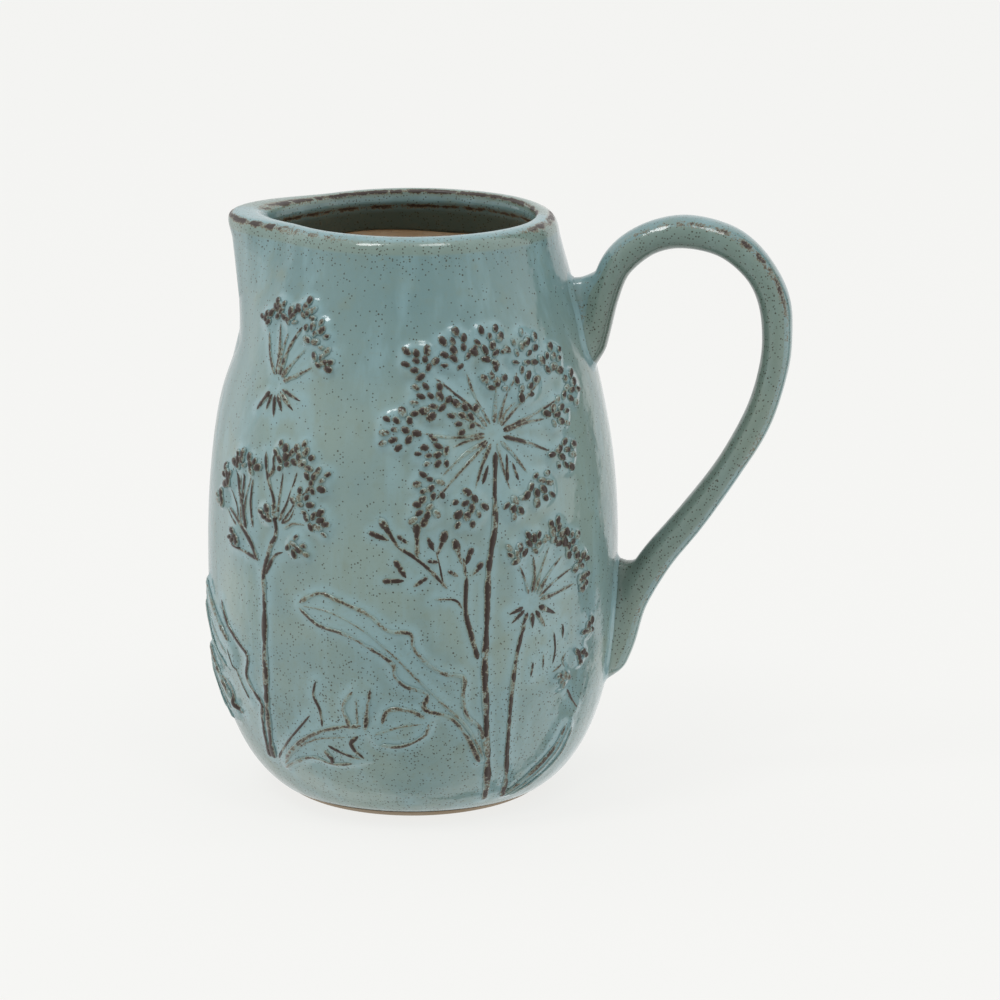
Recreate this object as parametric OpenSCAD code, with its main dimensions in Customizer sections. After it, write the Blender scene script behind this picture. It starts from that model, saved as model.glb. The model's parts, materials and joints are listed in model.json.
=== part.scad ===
// Stoneware pitcher with a pulled handle, a pinched pouring lip and sprigged wildflowers.
// Millimetres, +Z up. The origin is the centre of the foot, on the table. The handle lies
// along +X and the pouring lip along -X. A bearing is an angle about Z, counted from +X.

/* [Body] */
// Height of the rim above the table
height = 200; // [165:1:260]
// Outer radius of the foot
foot_r = 42; // [34:0.5:52]
// Outer radius at the widest point
belly_r = 70.5; // [62:0.5:90]
// Height of the widest point
belly_z = 85; // [70:1:110]
// Outer radius of the rim, away from the pouring lip
rim_r = 49.2; // [42:0.1:60]
// Thickness of the clay wall
wall = 5.5; // [4:0.5:8]
// Thickness of the clay at the rim
rim_t = 6.4; // [4:0.1:8]
// Thickness of the floor slab
floor_t = 7; // [4:0.5:12]
// Width of the foot ring, from the floor slab to the foot's outer edge
foot_w = 6; // [4:0.5:10]
// Height of the bare foot ring
foot_h = 3; // [2:0.5:5]
// Height of the seam between the body and the neck
neck_z = 150; // [130:1:155]

/* [Outline] */
// How far the lower curve leaves the foot sideways
foot_pull_out = 29; // [20:0.5:32]
// How far the lower curve leaves the foot upwards
foot_pull_up = 13.4; // [8:0.1:18]
// How long the lower curve stays upright below the belly
belly_pull_down = 21; // [12:1:30]
// How long the upper curve stays upright above the belly
belly_pull_up = 63; // [40:1:70]
// How far the upper curve leans out below the rim
rim_pull_out = 2.2; // [0:0.1:6]
// How long the upper curve stays near the rim's radius
rim_pull_down = 24; // [15:1:35]

/* [Pouring lip] */
// How far the lip stands out from the rim
lip_out = 14; // [8:0.5:20]
// Half of the bearing that the lip takes up
lip_half_angle = 45; // [30:1:60]
// How far the lip runs down the neck
lip_drop = 42; // [25:1:45]

/* [Glaze] */
// Thickness of the glaze coat
coat = 0.5; // [0.3:0.1:0.8]
// How far the glaze runs down inside the rim
inside_band = 16; // [10:1:25]

/* [Handle] */
// Width of the strap at the top
strap_w_top = 16.5; // [12:0.5:22]
// Width of the strap at the lower end
strap_w_low = 13.5; // [10:0.5:20]
// Thickness of the strap
strap_t = 11; // [8:0.2:14]
// How far the handle stands out beyond the belly
handle_reach = 53.5; // [45:0.5:70]
// How far the top of the handle's curve lies below the rim
handle_top_drop = 3.4; // [0:0.1:12]
// Height of the handle's lower tip
handle_foot_z = 42; // [36:1:50]
// Thickness of the luting clay under each end of the handle
luting_t = 0.8; // [0.5:0.1:1.5]
// How far the luting clay shows around each end of the handle
luting_margin = 1.6; // [0.8:0.1:3]
// Gap between the handle and the luting clay, so that they only touch
seat_gap = 0.05; // [0:0.01:0.2]

/* [Relief] */
// Width of a raised flower stem
stem_w = 2.4; // [1.6:0.1:3.5]
// Width of a raised ray or leaf vein
ray_w = 1.5; // [1:0.1:2.4]
// Height of the relief above the coat
relief_h = 0.9; // [0.5:0.1:1.5]
// Diameter of a raised bud
seed_d = 2.7; // [1.8:0.1:3.5]
// Diameter of a raised flower cluster
cluster_d = 11; // [7:0.5:13]

/* [Hidden] */

$fn = 128;
curve_steps = 60;      // points along each half of the outline
wall_steps = 22;       // rows up the body
neck_steps = 10;       // rows up the neck
lip_steps = 6;         // rows over the rounded lip
floor_r = foot_r - foot_w;  // radius of the floor slab
bearings = 64;         // columns round the neck
lip_round = 3.2;       // height of the rounding on the rim
short_ray = 0.72;      // share of the reach that every second ray of a flower has
hub_gap = 4;           // bare coat between a flower's hub and its rays
cluster_gap = 1;       // bare coat between a ray and its cluster
stoneware = "tan";
glaze = "cadetblue";
iron_glaze = "saddlebrown";

// ---- Outline -------------------------------------------------------------------

function bezier(p, t) = pow(1 - t, 3) * p[0] + 3 * pow(1 - t, 2) * t * p[1]
    + 3 * (1 - t) * pow(t, 2) * p[2] + pow(t, 3) * p[3];

lower_curve = [[foot_r, 0], [foot_r + foot_pull_out, foot_pull_up],
    [belly_r, belly_z - belly_pull_down], [belly_r, belly_z]];
upper_curve = [[belly_r, belly_z], [belly_r, belly_z + belly_pull_up],
    [rim_r + rim_pull_out, height - rim_pull_down], [rim_r, height]];
// Rows of [height, radius], from the foot to the rim
outline = [
    for (i = [0 : curve_steps - 1]) let (p = bezier(lower_curve, i / curve_steps)) [p.y, p.x],
    for (i = [0 : curve_steps]) let (p = bezier(upper_curve, i / curve_steps)) [p.y, p.x]];

// Radius of the glazed outside at a height
function outer(z) = lookup(z, outline);
// How fast that radius grows with height
function lean(z) = let (low = max(0, z - 1), high = min(height, z + 1))
    (outer(high) - outer(low)) / (high - low);
// Sideways depth that one millimetre of thickness takes on the leaning wall
function slant(z) = sqrt(1 + pow(lean(z), 2));
// Radius at a depth under the glazed outside
function under(z, depth) = outer(z) - depth * slant(z);

// How far the pouring lip pushes the neck out at a bearing and height
function lip_bump(a, z) = let (
        off = abs(180 - abs(a)),
        rise = (z - height + lip_drop) / lip_drop)
    (off >= lip_half_angle || rise <= 0) ? 0
        : lip_out * rise * pow(cos(90 * off / lip_half_angle), 2);

// Heights spread evenly from one to the other
function rows(from, to, steps) = [for (i = [0 : steps]) from + (to - from) * i / steps];
function reversed(list) = [for (i = [len(list) - 1 : -1 : 0]) list[i]];

// ---- Meshes from rings of points ----------------------------------------------------

// Quads between ring i and ring i + 1, which both hold n points
function band(i, j, n) = [for (k = [0 : n - 1])
    [i * n + k, j * n + k, j * n + (k + 1) % n, i * n + (k + 1) % n]];

// A ring of rings that closes on itself, such as a rim
module closed_sweep(rings) {
    n = len(rings[0]);
    m = len(rings);
    polyhedron(
        points = [for (r = rings, p = r) p],
        faces = [for (i = [0 : m - 1], f = band(i, (i + 1) % m, n)) f],
        convexity = 8);
}

// A bar of rings with a flat face at each end
module open_sweep(rings) {
    n = len(rings[0]);
    m = len(rings);
    polyhedron(
        points = [for (r = rings, p = r) p],
        faces = [for (i = [0 : m - 2], f = band(i, i + 1, n)) f,
            [for (k = [0 : n - 1]) k],
            [for (k = [n - 1 : -1 : 0]) (m - 1) * n + k]],
        convexity = 8);
}

// ---- Body ---------------------------------------------------------------------------

module base_slab() {
    color(stoneware) cylinder(r = floor_r, h = floor_t);
}

module foot_ring() {
    outside = [for (z = rows(0, foot_h, 3)) [outer(z), z]];
    color(stoneware) rotate_extrude()
        polygon([[floor_r, 0], each outside, [floor_r, foot_h]]);
}

module body_wall() {
    outside = [for (z = rows(foot_h, neck_z, wall_steps)) [under(z, coat), z]];
    inside = [for (z = rows(floor_t, neck_z, wall_steps)) [under(z, coat + wall), z]];
    color(stoneware) rotate_extrude()
        polygon([[floor_r, foot_h], each outside, each reversed(inside), [floor_r, floor_t]]);
}

module body_coat() {
    outside = [for (z = rows(foot_h, neck_z, wall_steps)) [outer(z), z]];
    inside = [for (z = rows(foot_h, neck_z, wall_steps)) [under(z, coat), z]];
    color(glaze) rotate_extrude() polygon([each outside, each reversed(inside)]);
}

// ---- Neck, lip and the glaze over them ------------------------------------------------

// Thickness of the neck's clay, from the wall's at the seam to the rim's at the top
function neck_t(z) = wall + (rim_t - wall) * (z - neck_z) / (height - neck_z);

// Section of the neck grown by skin on every side, as [depth, height], from the seam on the
// outside, over the lip and down the inside to end_z
function neck_section(skin, end_z) = let (
        top = height - coat + skin,
        shoulder = top - lip_round,
        half = rim_t / 2 + skin)
    [for (z = rows(neck_z, shoulder, neck_steps)) [coat - skin, z],
     for (i = [1 : lip_steps - 1]) let (turn = 180 * i / lip_steps)
        [coat + rim_t / 2 - half * cos(turn), shoulder + lip_round * sin(turn)],
     for (z = rows(shoulder, end_z, neck_steps)) [coat + neck_t(z) + skin, z]];

// The same section turned to a bearing
function neck_ring(section, a) = [for (s = section)
    let (r = under(s[1], s[0]) + lip_bump(a, s[1])) [r * cos(a), r * sin(a), s[1]]];

function bearing(i) = 360 * i / bearings - 180;

module neck_and_spout() {
    section = neck_section(0, neck_z);
    color(stoneware)
        closed_sweep([for (i = [0 : bearings - 1]) neck_ring(section, bearing(i))]);
}

module rim_coat() {
    glaze_end_z = height - inside_band;
    section = [each neck_section(coat, glaze_end_z), each reversed(neck_section(0, glaze_end_z))];
    color(glaze)
        closed_sweep([for (i = [0 : bearings - 1]) neck_ring(section, bearing(i))]);
}

// ---- Handle ----------------------------------------------------------------------------

handle_out = belly_r + handle_reach;     // X of the outermost point of the centre line
handle_top = height - handle_top_drop;   // Z of its highest point
tip_z = height - 48;                     // Z of the upper tip
// Centre line of the handle in the plane Y = 0, from the upper tip to the lower one
handle_line = [
    [outer(tip_z) + 0.5, tip_z],
    [outer(tip_z + 10) + 4.5, tip_z + 10],
    [outer(tip_z + 22) + 10.5, tip_z + 22],
    [rim_r + 21.5, handle_top - 11],
    [rim_r + 31, handle_top - 3],
    [rim_r + 43.5, handle_top],
    [handle_out - 17.5, handle_top - 3],
    [handle_out - 7.5, handle_top - 11],
    [handle_out - 1.5, handle_top - 22],
    [handle_out, handle_top - 34.5],
    [handle_out - 1.5, handle_top - 47],
    [handle_out - 7, handle_top - 63.5],
    [handle_out - 16.5, handle_top - 80.5],
    [belly_r + 25, handle_foot_z + 56.5],
    [belly_r + 13.5, handle_foot_z + 40.5],
    [belly_r + 5.5, handle_foot_z + 26],
    [belly_r + 1, handle_foot_z + 12],
    [outer(handle_foot_z) + 0.5, handle_foot_z]];
stations = 44;         // rings along the handle
ring_points = 20;      // points round each ring
tip_round = 7;         // length of the rounding at each end

// Point on a Catmull-Rom curve through a list of points, where t runs from 0 to 1
function through(list, t) = let (
        n = len(list) - 1,
        i = min(floor(t * n), n - 1),
        u = t * n - i,
        a = list[max(i - 1, 0)], b = list[i], c = list[i + 1], d = list[min(i + 2, n)])
    0.5 * (2 * b + (c - a) * u + (2 * a - 5 * b + 4 * c - d) * pow(u, 2)
        + (3 * b - a - 3 * c + d) * pow(u, 3));

function unit(v) = v / norm(v);

// A point moved out of the wall and the luting clay, if it lies inside them
function clear_of_wall(p) = let (
        least = outer(p.z) + luting_t + seat_gap,
        r = norm([p.x, p.y]))
    r >= least ? p : [p.x * least / r, p.y * least / r, p.z];

// Share of the full section that is left at a distance from an end
function end_share(d) = d >= tip_round ? 1 : sqrt(1 - pow(1 - max(d, 0.4) / tip_round, 2));

function handle_ring(t) = let (
        p = through(handle_line, t),
        along = unit(through(handle_line, min(t + 0.01, 1)) - through(handle_line, max(t - 0.01, 0))),
        side = [-along.y, along.x],
        share = end_share(min(norm(p - handle_line[0]), norm(p - handle_line[len(handle_line) - 1]))),
        half_t = strap_t / 2 * share,
        half_w = (strap_w_top + (strap_w_low - strap_w_top) * t) / 2 * share)
    [for (k = [0 : ring_points - 1]) let (
            turn = 360 * k / ring_points,
            u = half_t * sign(cos(turn)) * pow(abs(cos(turn)), 0.8),
            v = half_w * sign(sin(turn)) * pow(abs(sin(turn)), 0.8))
        clear_of_wall([p.x + side.x * u, v, p.y + side.y * u])];

module handle() {
    color(glaze) open_sweep([for (i = [0 : stations]) handle_ring(i / stations)]);
}

// A pad of luting clay on the wall from z_low to z_high, round at both ends
module luting_pad(z_low, z_high, half_w) {
    mid = (z_low + z_high) / 2;
    reach = (z_high - z_low) / 2;
    steps = 14;
    color(stoneware) open_sweep([for (i = [0 : steps])
        let (
            z = mid - reach * cos(180 * (i + 0.5) / (steps + 1)),
            half = half_w * pow(1 - pow((z - mid) / reach, 4), 0.5),
            spread = [-half, -0.8 * half, 0, 0.8 * half, half, 0.5 * half, -0.5 * half],
            lift = [0, luting_t, luting_t, luting_t, 0, 0, 0])
        [for (k = [0 : 6]) let (a = spread[k] / outer(z) * 180 / PI) on_pot([a, z], lift[k])]]);
}

module handle_upper_joint() {
    luting_pad(tip_z - 3 - luting_margin, tip_z + 27, strap_w_top / 2 + luting_margin);
}

module handle_lower_joint() {
    luting_pad(handle_foot_z - 2 - luting_margin, handle_foot_z + 38,
        strap_w_low / 2 + luting_margin);
}

// ---- Relief --------------------------------------------------------------------------------

// Point at a place [bearing, height] on the coat, raised by lift along the surface's normal
function on_pot(place, lift = 0) = let (
        a = place[0], z = place[1],
        r = outer(z) + lip_bump(a, z) + lift / slant(z))
    [r * cos(a), r * sin(a), z - lift * lean(z) / slant(z)];

// The place that lies u mm to the right of another and v mm up the wall from it
function beside(place, u, v) = let (z = place[1] + v / slant(place[1]))
    [place[0] + u / outer(z) * 180 / PI, z];

// A half-round ridge along the coat through a list of places, thinner towards its last one
module ridge(places, w, steps = 4) {
    rings = [for (i = [0 : steps]) let (
            t = i / steps,
            here = through(places, t),
            ahead = through(places, min(t + 0.02, 1)) - through(places, max(t - 0.02, 0)),
            run = unit([ahead.x * outer(here.y) * PI / 180, ahead.y * slant(here.y)]),
            half = w / 2 * (1 - 0.35 * t),
            spread = [-1, -0.7, 0, 0.7, 1],
            lift = [0, 0.7, 1, 0.7, 0])
        [for (k = [0 : 4])
            on_pot(beside(here, run.y * spread[k] * half, -run.x * spread[k] * half),
                lift[k] * relief_h)]];
    open_sweep(rings);
}

// A low round dome that sits on the coat
module seed(place, d) {
    translate(on_pot(place)) rotate([0, 90 + atan(lean(place[1])), place[0]])
        rotate_extrude($fn = 32)
            polygon([[0, 0], [d / 2, 0], [d / 2 - relief_h / 2, relief_h * 0.8], [0, relief_h * 1.2]]);
}

// Rays that fan out from a hub, each with a low round flower cluster at its end. Directions
// are counted clockwise from straight up, and every second ray is shorter.
module umbel(hub, reach, from, to, rays, cluster_d) {
    for (i = [0 : rays - 1]) {
        turn = from + (to - from) * i / (rays - 1);
        span = reach * (i % 2 == 0 ? 1 : short_ray);
        seed(beside(hub, span * sin(turn), span * cos(turn)), cluster_d);
        ridge([for (d = [hub_gap, span - cluster_d / 2 - cluster_gap])
            beside(hub, d * sin(turn), d * cos(turn))], ray_w, 2);
    }
}

// A drop-shaped bud at the end of a short stalk
module bud(from, to) {
    ridge([from, to], ray_w, 2);
    seed(to, seed_d * 1.3);
}

module small_umbel_sprig() {
    hub = [-127, 152];
    color(iron_glaze) {
        umbel(hub, 23, -38, 70, 7, cluster_d * 0.8);
        for (turn = [105, 130, 160, 190, 215])
            ridge([beside(hub, 3 * sin(turn), 3 * cos(turn)),
                beside(hub, 13 * sin(turn), 13 * cos(turn))], ray_w * 1.3, 2);
    }
}

module left_umbel_sprig() {
    color(iron_glaze) {
        ridge([[-132, 22], [-127, 40], [-126, 60], [-125, 88]], stem_w, 10);
        umbel([-125, 91], 31, -72, 80, 9, cluster_d * 0.9);
    }
}

module main_umbel_sprig() {
    color(iron_glaze) {
        ridge([[-55, 8], [-58, 28], [-61, 60], [-61, 85], [-58, 110], [-57, 132]], stem_w, 14);
        umbel([-57, 138], 32, -128, 135, 13, cluster_d);
    }
}

module bud_spray_sprig() {
    fork = [-67, 85];
    color(iron_glaze) {
        ridge([[-63, 62], [-66, 74], fork, [-67.5, 96]], ray_w * 1.2, 6);
        ridge([[-69, 84], [-73, 85.5], [-76, 84]], ray_w, 4);
        ridge([[-70, 88], [-77, 96], [-84, 101]], ray_w, 4);
        bud([-85.5, 102.5], [-89, 110]);
        bud([-74, 97], [-73, 105]);
        bud([-78.5, 98], [-80, 107.5]);
        bud([-68.5, 98], [-69.5, 102.5]);
        bud([-66.5, 98], [-65.5, 101]);
        bud([-82, 94.5], [-85.5, 97]);
        bud([-65.5, 91], [-63.5, 95]);
    }
}

module low_umbel_sprig() {
    color(iron_glaze) {
        ridge([[-47.5, 8], [-51, 24], [-53, 45], [-52.5, 62], [-49, 74]], stem_w * 0.8, 10);
        umbel([-47, 79], 24, -100, 150, 9, cluster_d * 0.8);
    }
}

// A leaf drawn as its outline and its middle vein
module leaf(left_edge, vein, right_edge, steps) {
    ridge(left_edge, ray_w, steps);
    ridge(vein, ray_w * 0.8, steps);
    ridge(right_edge, ray_w, steps);
}

module long_leaf_sprig() {
    color(iron_glaze)
        leaf([[-65, 33], [-70, 45], [-79, 48], [-80, 54], [-86, 56], [-89, 64], [-100, 71], [-110, 76]],
            [[-63, 30], [-71, 44], [-80, 58], [-90, 69], [-102, 77], [-111, 79.5]],
            [[-62.5, 36], [-67.5, 47], [-67.5, 57], [-76, 61], [-81, 70], [-92, 75], [-104, 83]],
            14);
}

module lobed_leaf_sprig() {
    color(iron_glaze) {
        ridge([[-129, 21], [-119, 31], [-110, 36], [-98, 39]], ray_w, 6);
        ridge([[-117, 36], [-112, 42], [-109, 50]], ray_w, 4);
        ridge([[-106, 41], [-104, 49], [-98, 51], [-96, 43]], ray_w, 6);
        ridge([[-90, 46.5], [-82, 46], [-77, 39], [-83, 33.5], [-90, 32]], ray_w * 1.2, 8);
        ridge([[-99, 36], [-99.5, 31], [-104, 29], [-110, 25], [-116, 25], [-127, 18]], ray_w, 9);
    }
}

module left_leaf_sprig() {
    color(iron_glaze) {
        ridge([[-134, 24], [-133, 34], [-131.5, 41], [-135, 49], [-134, 57], [-144, 66], [-148, 75]],
            stem_w * 0.9, 12);
        ridge([[-137, 40], [-141, 50], [-146, 58]], ray_w, 4);
        ridge([[-142, 33], [-146.5, 37], [-147, 43], [-158, 45]], ray_w * 1.3, 6);
    }
}

module back_main_umbel_sprig() {
    color(iron_glaze) {
        ridge([[98, 8], [101, 30], [104, 60], [103, 90], [100, 124]], stem_w, 14);
        umbel([99, 130], 32, -128, 132, 13, cluster_d);
    }
}

module back_low_umbel_sprig() {
    color(iron_glaze) {
        ridge([[57, 8], [58, 28], [54, 48], [50, 66]], stem_w * 0.8, 10);
        umbel([49, 72], 25, -110, 110, 9, cluster_d * 0.8);
    }
}

module back_small_umbel_sprig() {
    color(iron_glaze) {
        ridge([[146, 12], [143, 40], [145, 70], [148, 96]], stem_w * 0.8, 10);
        umbel([149, 101], 24, -85, 85, 8, cluster_d * 0.8);
    }
}

module back_leaf_sprig() {
    color(iron_glaze)
        leaf([[107, 32], [112, 44], [121, 50], [125, 62], [133, 74]],
            [[106, 26], [113, 38], [123, 52], [135, 76]],
            [[107, 22], [117, 30], [126, 38], [130, 52], [137, 72]],
            10);
}

base_slab();
foot_ring();
body_wall();
neck_and_spout();
handle();
handle_upper_joint();
handle_lower_joint();
body_coat();
rim_coat();
small_umbel_sprig();
left_umbel_sprig();
main_umbel_sprig();
bud_spray_sprig();
low_umbel_sprig();
long_leaf_sprig();
lobed_leaf_sprig();
left_leaf_sprig();
back_main_umbel_sprig();
back_low_umbel_sprig();
back_small_umbel_sprig();
back_leaf_sprig();
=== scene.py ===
"""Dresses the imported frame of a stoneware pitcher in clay, luting and reactive glaze.

All lengths and places are in millimetres until new_mesh turns them into metres. A place on the
pot is a bearing about Z, in degrees from the handle, and a height above the table. The pouring
lip is at a bearing of 180 and the front of the pot at -90.
"""
import json
import logging
import math
from dataclasses import dataclass, field
from enum import Enum
from typing import Any, Iterable, Sequence

import bpy
import numpy as np
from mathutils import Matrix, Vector, bvhtree, kdtree

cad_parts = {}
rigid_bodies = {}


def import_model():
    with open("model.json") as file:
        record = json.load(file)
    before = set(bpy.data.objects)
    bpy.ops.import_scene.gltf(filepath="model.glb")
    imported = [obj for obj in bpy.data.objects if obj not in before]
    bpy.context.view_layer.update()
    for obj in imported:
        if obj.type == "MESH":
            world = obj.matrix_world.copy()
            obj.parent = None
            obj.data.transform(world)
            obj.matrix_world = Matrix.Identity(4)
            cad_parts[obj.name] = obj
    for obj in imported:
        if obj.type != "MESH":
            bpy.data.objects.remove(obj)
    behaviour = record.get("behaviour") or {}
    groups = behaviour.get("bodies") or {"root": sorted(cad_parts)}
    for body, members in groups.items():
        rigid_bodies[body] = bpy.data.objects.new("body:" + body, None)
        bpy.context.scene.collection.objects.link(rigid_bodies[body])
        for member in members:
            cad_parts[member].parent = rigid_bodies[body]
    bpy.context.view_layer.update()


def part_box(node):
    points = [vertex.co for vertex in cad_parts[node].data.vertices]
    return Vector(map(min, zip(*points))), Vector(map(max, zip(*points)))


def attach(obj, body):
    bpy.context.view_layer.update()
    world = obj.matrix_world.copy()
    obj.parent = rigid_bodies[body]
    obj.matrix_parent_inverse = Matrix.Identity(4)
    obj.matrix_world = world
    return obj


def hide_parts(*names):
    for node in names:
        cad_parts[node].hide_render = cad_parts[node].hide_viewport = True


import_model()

MM = 0.001
MATH, RANGE, NOISE = "ShaderNodeMath", "ShaderNodeMapRange", "ShaderNodeTexNoise"
AXES, PRINCIPLED = "ShaderNodeSeparateXYZ", "ShaderNodeBsdfPrincipled"
# Degrees from one seed of a flower head to the next, so that no two line up.
SEED_TURN = 137.5
log = logging.getLogger("pitcher")

Place = tuple[float, float]
Tree, Socket = bpy.types.NodeTree, bpy.types.NodeSocket
Piece, Material = bpy.types.Object, bpy.types.Material


# ---- Small tools -------------------------------------------------------------------------


def linear(hex_colour: str) -> tuple[float, float, float, float]:
    """Turns an sRGB colour into the linear one that a shader takes.

    Args:
        hex_colour: Six hex digits after a hash, such as "#7fa3a3".

    Returns:
        Red, green, blue and an alpha of 1.
    """
    parts = [int(hex_colour[i:i + 2], 16) / 255 for i in (1, 3, 5)]
    curve = [p / 12.92 if p <= 0.04045 else ((p + 0.055) / 1.055) ** 2.4 for p in parts]
    return (curve[0], curve[1], curve[2], 1.0)


def add_node(tree: Tree, kind: str, inputs: dict[Any, Any] | None = None,
             **settings: Any) -> bpy.types.Node:
    """Adds a node, sets it up and links what feeds it.

    Args:
        tree: The node tree that the node joins.
        kind: The node's type name.
        inputs: Input name or index to a value, or to the socket or node that feeds it. A node
            feeds it from its first output.
        **settings: Properties of the node, such as operation="ADD".

    Returns:
        The new node.
    """
    node = tree.nodes.new(kind)
    for name, value in settings.items():
        setattr(node, name, value)
    for key, value in (inputs or {}).items():
        if isinstance(value, bpy.types.Node):
            value = value.outputs[0]
        if isinstance(value, Socket):
            tree.links.new(value, node.inputs[key])
        else:
            node.inputs[key].default_value = value
    return node


def bearings(columns: int) -> np.ndarray:
    """One row of bearings, evenly spaced right round from -180."""
    return np.linspace(-180, 180, columns, endpoint=False)[None, :]


def off_lip(a: np.ndarray) -> np.ndarray:
    """Degrees from each bearing to the middle of the pouring lip."""
    return np.abs(180 - np.abs(a))


def bell(values: np.ndarray, middle: float, width: float) -> np.ndarray:
    """Falls smoothly from 1 at middle, in a bell of about width to each side."""
    return np.exp(-((values - middle) / width) ** 2)


def hump(off: np.ndarray, reach: float) -> np.ndarray:
    """Falls from 1 where off is 0 to 0 at reach, rounded at both ends."""
    return np.cos(np.radians(90 * np.minimum(off / reach, 1))) ** 2


def smooth_step(low: float, high: float, values: np.ndarray) -> np.ndarray:
    """Rises smoothly from 0 at low to 1 at high."""
    t = np.clip((values - low) / (high - low), 0, 1)
    return t * t * (3 - 2 * t)


def catmull_rom(points: Sequence[Sequence[float]], t: np.ndarray) -> np.ndarray:
    """Samples a smooth curve that passes through every point.

    Args:
        points: The points, of any dimension.
        t: Where to sample, from 0 at the first point to 1 at the last.

    Returns:
        One row for each value of t.
    """
    p = np.asarray(points, float)
    last = len(p) - 1
    i = np.minimum((t * last).astype(int), last - 1)
    u = (t * last - i)[:, None]
    a, b = p[np.maximum(i - 1, 0)], p[i]
    c, d = p[i + 1], p[np.minimum(i + 2, last)]
    return 0.5 * (2 * b + (c - a) * u + (2 * a - 5 * b + 4 * c - d) * u ** 2
                  + (3 * b - a - 3 * c + d) * u ** 3)


def wander(values: np.ndarray, seed: int, waves: int = 5) -> np.ndarray:
    """A smooth wandering line of about -1 to 1 that repeats every 360 degrees.

    Args:
        values: Bearings in degrees.
        seed: Picks one wandering line of many.
        waves: How many waves add up.

    Returns:
        The line's height at each bearing.
    """
    rng = np.random.default_rng(seed)
    total = np.zeros_like(values, dtype=float)
    for k in range(1, waves + 1):
        phase = rng.uniform(0, 360)
        total += np.sin(np.radians(values * (2 * k - 1) + phase)) / k
    return total / 1.6


def grid_faces(rows: int, columns: int, close_rows: bool) -> np.ndarray:
    """Quads over a grid of points whose columns run right round.

    Args:
        rows: Number of rows of points.
        columns: Number of points in a row.
        close_rows: Whether the last row also joins the first.

    Returns:
        One row of four point numbers for each quad.
    """
    r = np.arange(rows if close_rows else rows - 1)[:, None]
    c = np.arange(columns)[None, :]
    up, right = (r + 1) % rows, (c + 1) % columns
    quads = np.stack([r * columns + c, r * columns + right, up * columns + right,
                      up * columns + c], axis=-1)
    return quads.reshape(-1, 4)


def new_mesh(name: str, points: np.ndarray, faces: Iterable[Sequence[int]],
             attributes: dict[str, np.ndarray] | None = None) -> Piece:
    """Makes a smooth-shaded mesh object at the origin.

    Args:
        name: The piece's name.
        points: One row of X, Y and Z for each point, in millimetres.
        faces: Point numbers of each face.
        attributes: Name to one number for each point.

    Returns:
        The object, linked to the scene.
    """
    mesh = bpy.data.meshes.new(name)
    mesh.from_pydata((points * MM).tolist(), [], [list(f) for f in faces])
    for key, values in (attributes or {}).items():
        layer = mesh.attributes.new(key, "FLOAT", "POINT")
        layer.data.foreach_set("value", np.ascontiguousarray(values, np.float32).ravel())
    mesh.shade_smooth()
    mesh.update()
    piece = bpy.data.objects.new(name, mesh)
    bpy.context.scene.collection.objects.link(piece)
    return piece


class Slot(Enum):
    """The record's material slots."""

    CLAY = "bare_stoneware"
    GLAZE = "teal_glaze"
    IRON = "iron_edge_glaze"


def dress(piece: Piece, material: Material, nodes: Sequence[str]) -> None:
    """Gives a piece its finish and puts it in the frame.

    Args:
        piece: The finished object.
        material: The material it takes all over.
        nodes: The CAD nodes that it stands for.
    """
    piece.data.materials.clear()
    piece.data.materials.append(material)
    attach(piece, "root")
    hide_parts(*nodes)
    log.info("%s: %d faces for %s", piece.name, len(piece.data.polygons), ", ".join(nodes))


# ---- The pot's surface -------------------------------------------------------------------


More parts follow.
